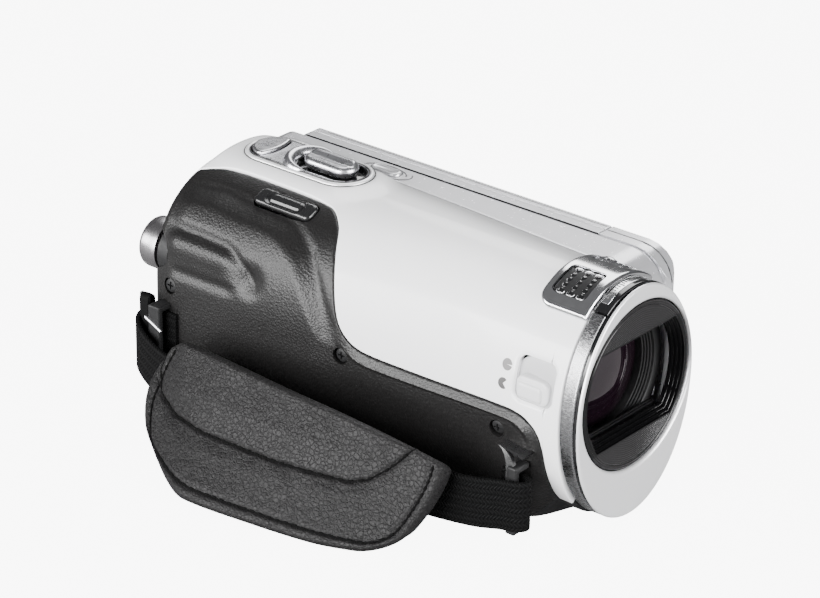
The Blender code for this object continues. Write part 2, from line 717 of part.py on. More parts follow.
def build_controls():
    def slot_outline(half_width, half_length, steps=8):
        return stadium((ISLAND_X, LEVER_Y), half_width, half_length, steps)

    def island(inset):
        half_width, half_length = ISLAND_HALF_WIDTH - inset, ISLAND_HALF_LENGTH - inset
        return stadium((ISLAND_X, ISLAND_Y), half_width, half_length, 10)

    layers = ((55.75, island(0.0)), (56.2, island(0.0)), (56.7, island(0.6)))
    plate = stack("control_plate", layers, "z", "chrome")
    boolean(plate, prism("lever_recess", slot_outline(5.6, 9.4), "z", 50.0, 60.0, None))
    boolean(plate, prism("mode_recess", mode_shape(0.0), "z", 50.0, 60.0, None))

    floor = prism("lever_base", slot_outline(5.2, 9.0), "z", 54.2, 55.6, "gloss_black")
    slot = rounded_rectangle((ISLAND_X - 1.6, LEVER_Y - 5), (ISLAND_X + 1.6, LEVER_Y + 5), 0.8, 3)
    boolean(floor, prism("lever_slot", slot, "z", 50.0, 60.0, None))

    layers = ((56.0, 3.0, 6.6), (57.4, 3.6, 7.2), (58.6, 3.4, 7.0), (59.2, 2.6, 6.2))
    outlines = [(z, slot_outline(width, length, 7)) for z, width, length in layers]
    lever = stack("zoom_lever", outlines, "z", "chrome", place(ISLAND_X, LEVER_Y, 56.0))
    low = (ISLAND_X - 1.2, LEVER_Y - 2.0, 53.4)
    stem = block("lever_stem", low, (ISLAND_X + 1.2, LEVER_Y + 2.0, 57.0), None)
    boolean(lever, stem, "UNION")

    layers = ((54.6, mode_shape(0.5)), (56.9, mode_shape(0.5)), (57.3, mode_shape(0.9)))
    stack("mode_button", layers, "z", "gunmetal", place(ISLAND_X, MODE_Y, 56.0))
    side, top = stadium(PHOTO, 1.9, 4.3, 7), stadium(PHOTO, 1.5, 3.9, 7)
    layers = ((50.6, side), (DECK_Z + 0.3, side), (DECK_Z + 0.7, top))
    stack("photo_button", layers, "z", "silver_paint", place(*PHOTO, DECK_Z))

    axis = (RECORD_X, RECORD_Z)
    profile = (
        (112.4, 0.0), (112.4, 3.0), (RECORD_BACK, 3.0), (RECORD_BACK, RECORD_RADIUS),
        (124.0, RECORD_RADIUS), (124.6, RECORD_RADIUS - 0.6), (124.6, 0.0),
    )
    pivot = place(RECORD_X, RECORD_BACK, RECORD_Z)
    lathe("record_button", profile, "y", axis, "gunmetal", 28, pivot)
    rim = RECORD_RADIUS + 0.25
    sleeve = ((114.9, 3.3), (114.9, rim), (118.1, rim), (118.1, 3.3))
    lathe("record_sleeve", sleeve, "y", axis, "gloss_black", 28)
    profile = ((18.6, 0.0), (18.6, 2.6), (20.9, 2.6), (21.05, 2.4), (21.05, 0.0))
    lathe("power_button", profile, "x", POWER, "silver_paint", 20, place(21.0, *POWER))


def mode_shape(inset):
    """The half-moon of the mode button: a round back and a front edge that curves with the lever."""
    radius = ISLAND_HALF_WIDTH - 1.7 - inset
    back = arc((ISLAND_X, ISLAND_Y + ISLAND_HALF_LENGTH - ISLAND_HALF_WIDTH), radius, 8.0, 172.0, 12)
    front = arc((ISLAND_X, 120.0), 13.4 - inset, 246.0, 294.0, 6)
    return back + front


def jack_outline(inset):
    """The flap over the sockets, lying in the upper edge of the grip: (x, y)."""
    low = (JACK_X[0] + inset, JACK_Y[0] + inset)
    return rounded_rectangle(low, (JACK_X[1] - inset, JACK_Y[1] - inset), 1.5, 3)


def build_jack():
    """The flap follows the curved skin, so it is cut from a lifted piece of it."""
    stations = (80.0, 86.0, 92.0, 98.0, 101.0)
    angles = spread(112.0, 136.0, 7)
    outer = [[skin(y, a, -JACK_LIFT) for a in angles] for y in stations]
    inner = [[skin(y, a, 1.6) for a in angles] for y in stations]
    pivot = place(JACK_X[0], (JACK_Y[0] + JACK_Y[1]) / 2, JACK_HINGE_Z)
    flap = grid_shell("jack_cover", outer, inner, "gloss_black", pivot)
    boolean(flap, prism("jack_trim", jack_outline(0.0), "z", 44.0, 60.0, None), "INTERSECT")
    nail = rounded_rectangle((-13.6, 86.5), (-12.2, 94.0), 0.6, 3)
    boolean(flap, prism("jack_nail", nail, "z", 52.6, 60.0, None))
    block("av_socket", (-13.6, 84.0, 44.5), (-8.6, 96.0, 48.6), "steel")


# ------------------------------------------------------------------ folding screen


def panel_outline(front, rear, front_radius, rear_radius, inset=0.0):
    """The side view of a piece of the screen: (y, z)."""
    return rounded_rectangle(
        (front + inset, PANEL_Z[0] + inset), (rear - inset, PANEL_Z[1] - inset),
        (front_radius, rear_radius, rear_radius, front_radius), 5,
    )


def build_screen():
    pivot = place(HINGE_X, HINGE_Y, SHAFT_Z)
    pin_axis, shaft_axis = (HINGE_X, HINGE_Y), (HINGE_X, SHAFT_Z)
    half = (PANEL_X[1] - PANEL_X[0]) / 2
    plan = arc(pin_axis, half, 180.0, 360.0, 10)
    plan += [(PANEL_X[1], ARM_REAR), (PANEL_X[0], ARM_REAR)]
    arm = prism("screen_arm", plan, "z", PANEL_Z[0], PANEL_Z[1], "silver_paint", pivot)
    outline = panel_outline(HINGE_Y - half - 0.05, ARM_REAR + 5.0, 8.5, 0.0)
    boolean(arm, prism("arm_outline", outline, "x", 15.0, 35.0, None), "INTERSECT")
    for low in LUG_Z:
        corner = (30.0, 14.6, low + LUG_HEIGHT + GAP)
        boolean(arm, block("arm_gap_%d" % low, (18.0, 6.0, low - GAP), corner, None))
    boolean(arm, lathe("arm_bore", disc_profile(16.4, 45.6, 1.15), "z", pin_axis, None, 16))
    boolean(arm, lathe("arm_shaft_bore", disc_profile(17.4, 30.0, 1.3), "y", shaft_axis, None, 16))
    lathe("hinge_pin", disc_profile(17.0, 45.0, 0.9), "z", pin_axis, "steel", 12)
    lathe("screen_shaft", disc_profile(17.8, 36.0, 1.0), "y", shaft_axis, "steel", 12)

    bracket = block("hinge_bracket", (16.6, 9.8, 18.6), (18.2, 16.0, 43.4), "steel")
    tongue = arc(pin_axis, 2.45, -90.0, 90.0, 8)
    tongue += [(17.4, HINGE_Y + 2.45), (17.4, HINGE_Y - 1.6)]
    for low in LUG_Z:
        lug = prism("hinge_lug_%d" % low, tongue, "z", low, low + LUG_HEIGHT, None)
        boolean(bracket, lug, "UNION")
    boolean(bracket, lathe("bracket_bore", disc_profile(15.0, 47.0, 1.15), "z", pin_axis, None, 16))

    front = ARM_REAR + GAP
    side_view = panel_outline(front, PANEL_REAR, 0.4, 1.5)
    pivot = place(HINGE_X, front, SHAFT_Z)
    split = (PANEL_SPLIT_X - GAP / 2, PANEL_SPLIT_X + GAP / 2)
    cover = prism("screen_cover", side_view, "x", split[1], PANEL_X[1], "silver_paint", pivot)
    frame = prism("screen_frame", side_view, "x", PANEL_X[0], split[0], "matte_black", pivot)
    for obj, name in ((cover, "cover_groove"), (frame, "frame_groove")):
        boolean(obj, lathe(name, disc_profile(20.0, 37.0, 1.3), "y", shaft_axis, None, 16))
    pocket = rounded_rectangle((37.7, 11.7), (106.3, 50.3), 1.2, 2)
    boolean(frame, prism("display_pocket", pocket, "x", 20.0, 23.2, None))
    display = rounded_rectangle((38.0, 12.0), (106.0, 50.0), 1.0, 2)
    prism("screen_display", display, "x", 21.6, 22.9, "screen_glass", pivot)


# ------------------------------------------------------------------ inside and underneath


def build_inside():
    battery = rounded_rectangle((BATTERY_X[0], BATTERY_Y[0]), (BATTERY_X[1], BATTERY_Y[1]), 2.0, 3)
    prism("battery_pack", battery, "z", 2.7, 14.2, "battery_grey")
    block("main_board", (BOARD_X[0], 22.0, 17.0), (BOARD_X[1], 112.0, 46.0), "board_green")
    block("memory_card", (-12.0, 17.5, 5.6), (12.0, 49.5, 7.7), "card_blue")
    socket = block("card_socket", (-13.4, CARD_Y[0], 4.3), (13.4, CARD_Y[1], 9.2), "steel")
    boolean(socket, block("card_space", (-12.3, 15.0, 5.3), (12.3, 55.0, 8.0), None))
    lathe("speaker", disc_profile(103.0, 106.0, 8.0, 0.6), "y", (2.0, 30.0), "matte_black", 24)

    bush = ((0.15, 5.0), (0.15, 3.2), (3.9, 3.2), (3.9, 5.0))
    lathe("tripod_bush", bush, "z", (0.0, TRIPOD_Y), "steel", 24)
    corners = (1.5, 0.4, 0.4, 1.5)
    door = rounded_rectangle((DOOR_X[0], DOOR_Y[0]), (DOOR_X[1], DOOR_Y[1]), corners, 3)
    pivot = place(DOOR_X[1], (DOOR_Y[0] + DOOR_Y[1]) / 2, 0.0)
    prism("battery_door", door, "z", 0.0, 1.7, "matte_black", pivot)
    screw = (
        (-6.5, 0.0), (-6.5, 0.9), (-1.8, 0.9), (-1.8, 1.7), (-0.7, 1.7), (-0.4, 1.3), (-0.4, 0.0),
    )
    for place_name, y, degrees in SCREW_PLACES:
        radial_disc("grip_screw_" + place_name, y, degrees, screw, "gunmetal", 14)


# ------------------------------------------------------------------ hand strap


def smooth_path(points, steps):
    """Points on a smooth curve through the given ones."""
    ends = [Vector(p) for p in (points[0], *points, points[-1])]
    path = []
    for a, b, c, d in zip(ends, ends[1:], ends[2:], ends[3:]):
        for k in range(steps):
            t = k / steps
            bend = (2 * a - 5 * b + 4 * c - d) * t**2 + (3 * b - a - 3 * c + d) * t**3
            path.append(0.5 * (2 * b + (c - a) * t + bend))
    path.append(ends[-1])
    return path


def ribbon(name, path, half_width, thickness, look):
    """A flat band along a path, upright across its width."""
    outer, inner = [], []
    for i, point in enumerate(path):
        run = path[min(i + 1, len(path) - 1)] - path[max(i - 1, 0)]
        side = Vector((run.y, -run.x, 0.0)).normalized() * thickness / 2
        rises = [Vector((0.0, 0.0, h)) for h in (-half_width, half_width)]
        outer.append([point + side + rise for rise in rises])
        inner.append([point - side + rise for rise in rises])
    return grid_shell(name, outer, inner, look)


# The strap pad's outer face, as (x, y, z) from front to rear along three lines.
PAD_TOP = (
    (-37.6, 23.0, 19.6), (-39.4, 42.0, 22.6), (-40.6, 62.0, 24.4), (-39.6, 83.0, 25.0),
    (-37.0, 101.5, 24.2),
)
PAD_MIDDLE = (
    (-42.5, 24.5, 10.0), (-46.2, 42.0, 12.4), (-48.6, 61.0, 13.6), (-48.4, 80.0, 13.6),
    (-44.0, 105.0, 13.0),
)
PAD_BOTTOM = (
    (-50.5, 28.2, 0.9), (-56.8, 45.0, 0.7), (-59.4, 62.0, 0.7), (-60.9, 78.5, 0.9),
    (-53.4, 95.5, 5.2),
)
PAD_THICKNESS = 3.6
# The webbing's middle line: up through the front anchor, along inside the pad, into the rear one.
WEB_PATH = (
    (-23.9, 18.0, 9.6), (-23.8, 14.0, 9.6), (-24.3, 11.0, 9.6), (-26.0, 9.6, 9.6),
    (-27.9, 11.0, 9.6), (-29.2, 14.5, 9.6), (-32.0, 20.0, 9.6), (-34.6, 30.0, 9.7),
    (-37.0, 45.0, 9.9), (-38.2, 62.0, 10.1), (-37.8, 80.0, 10.3), (-36.2, 98.0, 10.8),
    (-35.0, 110.0, 12.0), (-33.2, 117.5, 14.5), (-30.8, 120.3, 16.5), (-28.9, 119.0, 17.5),
    (-28.2, 115.0, 18.0), (-28.2, 110.5, 18.0),
)
WEB_HALF_WIDTH = 6.1
WEB_THICKNESS = 1.2


def pad_point(s, t, depth):
    """A point of the pad: s from front to rear, t from top to bottom, depth towards the body."""

    def row(knots):
        position = s * (len(knots) - 1)
        return Vector(along(list(enumerate(coordinate)), position) for coordinate in zip(*knots))

    top, middle, bottom = row(PAD_TOP), row(PAD_MIDDLE), row(PAD_BOTTOM)
    point = (1 - t) * (1 - 2 * t) * top + 4 * t * (1 - t) * middle + t * (2 * t - 1) * bottom
    inward = Vector((0.87, 0.0, -0.5 * (1 - t)))
    return point + inward * depth


def strap_bracket(name, depths, x_body, x_bar, low, high):
    """A C-shaped bracket whose bar stands off the body; the webbing passes behind the bar."""
    bar = 1.6
    outline = [
        (x_body, low), (x_bar, low), (x_bar, high), (x_body, high), (x_body, high - bar),
        (x_bar + bar, high - bar), (x_bar + bar, low + bar), (x_body, low + bar),
    ]
    return prism(name, outline, "y", depths[0], depths[1], "matte_black")


def build_strap():
    rows, columns = 15, 9
    faces = []
    for depth in (0.0, PAD_THICKNESS):
        faces.append([
            [pad_point(i / (rows - 1), j / (columns - 1), depth) for j in range(columns)]
            for i in range(rows)
        ])
    grid_shell("strap_pad", faces[0], faces[1], "leather")
    ribbon("strap_web", smooth_path(WEB_PATH, 3), WEB_HALF_WIDTH, WEB_THICKNESS, "webbing")
    strap_bracket("anchor_front", (12.2, 14.8), -22.0, -27.0, 1.4, 18.0)
    strap_bracket("anchor_rear", (113.0, 116.6), -27.2, -31.8, 9.6, 26.2)


def main():
    clear_scene()
    build_housing()
    build_front()
    build_optics()
    build_controls()
    build_jack()
    build_screen()
    build_inside()
    build_strap()


main()
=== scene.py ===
"""The looks of the compact flash camcorder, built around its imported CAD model.

Shapes are worked out in millimetres in the layout frame that the CAD source uses: the lens axis is
at x = 0, the bezel's front face at y = 0 and the base at z = 0; +x is the side of the folding
screen, +y is backwards and +z is up. to_row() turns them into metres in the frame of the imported
model, whose place is read from the CAD nodes' boxes.
"""

import math

import bmesh
import bpy
import numpy as np
from mathutils import Matrix, Vector, kdtree


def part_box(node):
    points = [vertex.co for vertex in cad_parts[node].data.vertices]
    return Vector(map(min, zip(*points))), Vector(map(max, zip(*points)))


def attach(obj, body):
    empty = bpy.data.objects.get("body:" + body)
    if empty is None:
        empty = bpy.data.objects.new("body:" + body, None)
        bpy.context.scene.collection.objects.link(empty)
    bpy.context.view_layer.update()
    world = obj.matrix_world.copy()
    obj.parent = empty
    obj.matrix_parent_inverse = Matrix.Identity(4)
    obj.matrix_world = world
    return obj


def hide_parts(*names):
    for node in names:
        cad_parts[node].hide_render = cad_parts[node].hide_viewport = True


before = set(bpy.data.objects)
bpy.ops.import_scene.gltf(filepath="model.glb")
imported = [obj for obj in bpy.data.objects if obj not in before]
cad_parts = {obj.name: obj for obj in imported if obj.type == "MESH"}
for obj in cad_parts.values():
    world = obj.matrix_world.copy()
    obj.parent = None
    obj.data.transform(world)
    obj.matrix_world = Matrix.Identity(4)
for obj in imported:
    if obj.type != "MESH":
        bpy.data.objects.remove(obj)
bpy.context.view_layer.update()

MM = 0.001
SHIELD_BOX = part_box("lens_shield")
BEZEL_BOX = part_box("front_bezel")
ORIGIN = np.array(((SHIELD_BOX[0].x + SHIELD_BOX[1].x) / 2, BEZEL_BOX[0].y, 0.0))

# Driving dimensions of the housing, the same as the CAD's.
LENS_Z = 32.0
CORE_Z = 28.3
FACE_X, FACE_HALF_WIDTH, FACE_HALF_HEIGHT = -0.6, 20.86, 27.5
DECK_Z, WALL_X = 53.0, 21.1
BODY_FRONT, BODY_REAR, REAR_ROUND = 5.4, 119.4, 3.0
GRIP_FRONT = 9.6
GRIP_SEAM = (
    (9.5, 236.0), (9.8, 204.0), (10.1, 198.5), (10.8, 192.0), (12.6, 186.0), (15.9, 181.2),
    (19.5, 179.8), (35.6, 180.0), (51.5, 179.0), (57.9, 177.8), (61.1, 175.9), (63.7, 172.1),
    (65.7, 166.5), (67.0, 159.3), (68.2, 151.0), (70.4, 139.0), (74.5, 123.8), (80.4, 116.0),
    (86.0, 115.3), (105.0, 115.6), (111.4, 116.5), (119.4, 123.5),
)
BOTTOM_LEFT, BOTTOM_RIGHT = 236.0, 303.0  # degrees around the core
# Millimetres along the skin for a degree around the core: a mean, beside the deck, and at the switch.
MM_PER_DEGREE, MM_PER_DEGREE_DECK, MM_PER_DEGREE_SWITCH = 0.49, 0.47, 0.37

SHIELD_RADIUS = 19.5
# Middles and half sizes: (x, y) on top, (y, z) on the sides, (x, z) at the rear and the hinge.
ISLAND = (3.5, 97.8)
ISLAND_HALF = (7.6, 17.8)
LEVER = (3.5, 91.0)
LEVER_RECESS_HALF = (5.5, 9.3)
PHOTO = (16.4, 85.5)
POWER = (40.0, 42.0)
RECORD = (-20.3, 36.2)
SWITCH = (12.95, 36.2)
SWITCH_HALF = (5.0, 5.0)
JACK_X, JACK_Y = (-15.3, -10.7), (81.7, 98.7)
JACK_MIDDLE = ((JACK_X[0] + JACK_X[1]) / 2, (JACK_Y[0] + JACK_Y[1]) / 2)
JACK_HALF = ((JACK_X[1] - JACK_X[0]) / 2, (JACK_Y[1] - JACK_Y[0]) / 2)
PANEL_X, PANEL_Z = (21.4, 26.5), (9.0, 52.8)
HINGE = (23.95, 11.6)


# ------------------------------------------------------------------ numbers and curves


def to_row(points):
    """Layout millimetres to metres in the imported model's frame."""
    return np.asarray(points, float) * MM + ORIGIN


def ramp(start, end, value):
    """0 before start, 1 after end, with a smooth step between."""
    t = np.clip((np.asarray(value, float) - start) / (end - start), 0.0, 1.0)
    return t * t * (3.0 - 2.0 * t)


def bell(distance, width):
    """1 at distance 0, falling smoothly to 0 at this width."""
    return 1.0 - ramp(0.0, width, np.abs(distance))


def edge_drop(distance, radius):
    """How far a surface has rounded down, this far inside its edge."""
    inside = np.clip(distance, 0.0, radius)
    return radius - np.sqrt(np.maximum(radius**2 - (radius - inside) ** 2, 0.0))


def along(knots, value):
    """A smooth curve through (position, height) knots that never overshoots them."""
    xs, ys = [k[0] for k in knots], [k[1] for k in knots]
    if value <= xs[0]:
        return ys[0]
    if value >= xs[-1]:
        return ys[-1]
    slopes = [(ys[i + 1] - ys[i]) / (xs[i + 1] - xs[i]) for i in range(len(xs) - 1)]
    tangents = [slopes[0]]
    for before, after in zip(slopes, slopes[1:]):
        tangents.append(0.0 if before * after <= 0 else 2 * before * after / (before + after))
    tangents.append(slopes[-1])
    i = max(k for k in range(len(xs) - 1) if xs[k] <= value)
    span = xs[i + 1] - xs[i]
    t = (value - xs[i]) / span
    return (
        (2 * t**3 - 3 * t**2 + 1) * ys[i] + (t**3 - 2 * t**2 + t) * span * tangents[i]
        + (3 * t**2 - 2 * t**3) * ys[i + 1] + (t**3 - t**2) * span * tangents[i + 1]
    )


def follow(knots, values):
    """along() for an array of positions."""
    flat = [along(knots, v) for v in np.ravel(values)]
    return np.array(flat).reshape(np.shape(values))


def plane_tree(points):
    """A search tree of (u, v) points of a plane."""
    tree = kdtree.KDTree(len(points))
    for i, (u, v) in enumerate(points):
        tree.insert((u, v, 0.0), i)
    tree.balance()
    return tree


def distance_to_line(points, line, step=0.08):
    """Distance in a plane from each point to a line through the given corners."""
    dense = []
    for a, b in zip(line, line[1:]):
        count = max(int(math.dist(a, b) / step), 1)
        dense += [(a[0] + (b[0] - a[0]) * k / count, a[1] + (b[1] - a[1]) * k / count)
                  for k in range(count)]
    dense.append(tuple(line[-1]))
    tree = plane_tree(dense)
    return np.array([tree.find((u, v, 0.0))[2] for u, v in points])


def graded(first, last, count, fine=()):
    """Values from first to last, evenly spaced, with extra ones this close to both ends."""
    way = 1.0 if last > first else -1.0
    fine = np.array(fine, float)
    margin = fine[-1] if len(fine) else 0.0
    middle = np.linspace(first + way * margin, last - way * margin, count)
    if not len(fine):
        return middle
    head = first + way * np.concatenate(([0.0], fine[:-1]))
    tail = last - way * np.concatenate((fine[:-1][::-1], [0.0]))
    return np.concatenate((head, middle, tail))


def box_distance(u, v, centre, half, radius):
    """Signed distance from a rounded rectangle's outline in a plane, negative inside."""
    a = np.abs(u - centre[0]) - half[0] + radius
    b = np.abs(v - centre[1]) - half[1] + radius
    outside = np.hypot(np.maximum(a, 0.0), np.maximum(b, 0.0))
    return outside + np.minimum(np.maximum(a, b), 0.0) - radius


# ------------------------------------------------------------------ outlines


def arc(centre, radius, start, end, steps):
    turns = np.radians(np.linspace(start, end, steps + 1))
    return np.column_stack((centre[0] + radius * np.cos(turns), centre[1] + radius * np.sin(turns)))


def circle(centre, radius, count):
    return arc(centre, radius, 0.0, 360.0 * (count - 1) / count, count - 1)


def rounded_rectangle(centre, half, radius, steps=6):
    if not isinstance(radius, (tuple, list)):
        radius = (radius,) * 4
    corners = []
    for (a, b, start), r in zip(((-1, -1, 180), (1, -1, 270), (1, 1, 0), (-1, 1, 90)), radius):
        middle = (centre[0] + a * (half[0] - r), centre[1] + b * (half[1] - r))
        corners.append(arc(middle, r, start, start + 90, steps))
    return np.concatenate(corners)


def stadium(centre, half, steps=20):
    """A slot outline, long in its second coordinate."""
    straight = half[1] - half[0]
    upper = arc((centre[0], centre[1] + straight), half[0], 0.0, 180.0, steps)
    lower = arc((centre[0], centre[1] - straight), half[0], 180.0, 360.0, steps)
    return np.concatenate((upper, lower))


def shrink(centre, half, amount):
    return centre, (half[0] - amount, half[1] - amount)


# ------------------------------------------------------------------ solids: (vertices, faces)


def rings_solid(rings, closed=False):
    """Joins rings of equal size. The ends are capped, or joined to each other if closed."""
    count = len(rings[0])
    vertices = np.concatenate(rings)
    faces = []
    pairs = [(i, i + 1) for i in range(len(rings) - 1)]
    if closed:
        pairs.append((len(rings) - 1, 0))
    for low, high in pairs:
        for i in range(count):
            j = (i + 1) % count
            faces.append((low * count + i, low * count + j, high * count + j, high * count + i))
    if not closed:
        faces.append(tuple(range(count)))
        faces.append(tuple(range((len(rings) - 1) * count, len(rings) * count)))
    return vertices, faces


def set_along(outline, axis, depth):
    """Puts a flat outline at a depth along an axis; its coordinates are the other two axes."""
    outline = np.asarray(outline, float)
    column = np.full(len(outline), float(depth))
    a, b = outline[:, 0], outline[:, 1]
    order = {"x": (column, a, b), "y": (a, column, b), "z": (a, b, column)}[axis]
    return np.column_stack(order)


def stack_solid(layers, axis):
    """layers is a list of (depth, outline)."""
    return rings_solid([set_along(outline, axis, depth) for depth, outline in layers])


CAP_INSET = 0.06  # a narrow flat rim beside each cap keeps its shading flat


def prism(outline, axis, low, high):
    """An outline drawn out along an axis, often to cut with."""
    return stack_solid([(low, outline), (high, outline)], axis)


def loop_solid(layers, axis):
    """A ring whose cross-section is given by (depth, outline) layers in a closed loop."""
    return rings_solid([set_along(outline, axis, depth) for depth, outline in layers], closed=True)


def layered(outline, steps):
    """(depth, outline) layers from (depth, inset) steps."""
    return [(depth, outline(inset)) for depth, inset in steps]


def rounded_solid(outline, axis, low, high, radius, steps=4, round_low=True):
    """A prism with rounded rims. outline(inset) gives its outline."""
    turns = np.radians(np.linspace(0.0, 90.0, steps + 1))
    upper = [(high - radius + radius * math.sin(t), outline(radius * (1 - math.cos(t)))) for t in turns]
    layers = [(low, outline(0.0))]
    if round_low:
        layers = [(low + radius - radius * math.sin(t), outline(radius * (1 - math.cos(t))))
                  for t in turns[::-1]]
        layers.insert(0, (low, outline(radius + CAP_INSET)))
    return stack_solid(layers + upper + [(high, outline(radius + CAP_INSET))], axis)


def lathe_solid(profile, axis, centre, segments=96, closed=False):
    """Turns (depth, radius) points about an axis. Very small radii stand for the middle."""
    rings = [set_along(circle(centre, max(r, 0.004), segments), axis, d) for d, r in profile]
    return rings_solid(rings, closed)


def grid_solid(outer, inner):
    """A closed shell between two grids of points of the same size, (rows, columns, 3)."""
    rows, columns = outer.shape[:2]
    index = np.arange(rows * columns).reshape(rows, columns)
    corners = (index[:-1, :-1], index[:-1, 1:], index[1:, 1:], index[1:, :-1])
    quads = np.stack([c.ravel() for c in corners], axis=1)
    offset = rows * columns
    faces = quads.tolist() + (quads[:, ::-1] + offset).tolist()
    border = np.concatenate((index[0, :], index[1:, -1], index[-1, -2::-1], index[-2:0:-1, 0]))
    following = np.roll(border, -1)
    rim = np.stack((following, border, border + offset, following + offset), axis=1)
    faces += rim.tolist()
    return np.concatenate((outer.reshape(-1, 3), inner.reshape(-1, 3))), faces


def join(solids):
    vertices, faces, offset = [], [], 0
    for points, polygons in solids:
        vertices.append(points)
        faces += [tuple(i + offset for i in polygon) for polygon in polygons]
        offset += len(points)
    return np.concatenate(vertices), faces


def tube_solid(path, radius, sides=8, closed=False):
    """A thin round line along a path of points."""
    path = np.asarray(path, float)
    count = len(path)
    rings = []
    for i in range(count):
        before = path[(i - 1) % count] if closed else path[max(i - 1, 0)]
        after = path[(i + 1) % count] if closed else path[min(i + 1, count - 1)]
        run = Vector(after - before).normalized()
        side = run.orthogonal().normalized() if abs(run.z) > 0.9 else run.cross((0, 0, 1)).normalized()
        up = side.cross(run)
        turns = np.linspace(0.0, 2 * np.pi, sides, endpoint=False)
        rings.append(path[i] + radius * (np.outer(np.cos(turns), side) + np.outer(np.sin(turns), up)))
    return rings_solid(rings, closed)


# ------------------------------------------------------------------ objects


def shade(mesh, smooth):
    mesh.shade_smooth()
    mesh.set_sharp_from_angle(angle=math.radians(smooth))


def solid_mesh(name, solid):
    """A solid in millimetres as a mesh with its faces turned outwards."""
    vertices, faces = solid
    mesh = bpy.data.meshes.new(name)
    mesh.from_pydata(to_row(vertices).tolist(), [], faces)
    bm = bmesh.new()
    bm.from_mesh(mesh)
    bmesh.ops.recalc_face_normals(bm, faces=bm.faces)
    bm.to_mesh(mesh)
    bm.free()
    return mesh


def add_object(name, data):
    obj = bpy.data.objects.new(name, data)
    bpy.context.scene.collection.objects.link(obj)
    return obj


def make(name, solid, look, body="camera", replaces=(), smooth=40.0):
    """Makes a piece from a solid, gives it its material, and lets it ride on a CAD body."""
    mesh = solid_mesh(name, solid)
    shade(mesh, smooth)
    obj = add_object(name, mesh)
    mesh.materials.append(LOOKS[look])
    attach(obj, body)
    if replaces:
        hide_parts(*replaces)
    return obj


def bake_modifiers(obj, smooth=None):
    """Puts the result of an object's modifiers into its mesh."""
    bpy.context.view_layer.update()
    shape = obj.evaluated_get(bpy.context.evaluated_depsgraph_get())
    mesh = bpy.data.meshes.new_from_object(shape)
    old = obj.data
    obj.modifiers.clear()
    obj.data = mesh
    mesh.name = obj.name
    bpy.data.meshes.remove(old)
    if smooth is not None:
        shade(mesh, smooth)


def cut(obj, solid, smooth=32.0):
    """Cuts a solid out of a piece."""
    tool = add_object("cutter", solid_mesh("cutter", solid))
    mesh = tool.data
    change = obj.modifiers.new("cut", "BOOLEAN")
    change.operation = "DIFFERENCE"
    change.solver = "EXACT"
    change.object = tool
    bake_modifiers(obj, smooth)
    bpy.data.objects.remove(tool)
    bpy.data.meshes.remove(mesh)


def bevelled_copy(node, look, body, width):
    """A copy of a CAD node's shape with its sharp edges rounded, standing for the node."""
    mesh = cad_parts[node].data.copy()
    mesh.materials.clear()
    bm = bmesh.new()
    bm.from_mesh(mesh)
    bmesh.ops.remove_doubles(bm, verts=bm.verts, dist=2e-6)
    bmesh.ops.dissolve_limit(bm, angle_limit=math.radians(1.0), verts=bm.verts, edges=bm.edges)
    bm.to_mesh(mesh)
    bm.free()
    obj = add_object("look_" + node, mesh)
    mesh.materials.append(LOOKS[look])
    mesh.shade_smooth()
    bevel = obj.modifiers.new("bevel", "BEVEL")
    bevel.width = width * MM
    bevel.segments = 3
    bevel.limit_method = "ANGLE"
    bevel.angle_limit = math.radians(28.0)
    bevel.use_clamp_overlap = True
    bake_modifiers(obj, 50.0)
    weights = obj.modifiers.new("weights", "WEIGHTED_NORMAL")
    weights.keep_sharp = True
    bake_modifiers(obj)
    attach(obj, body)
    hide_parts(node)
    return obj


# ------------------------------------------------------------------ materials


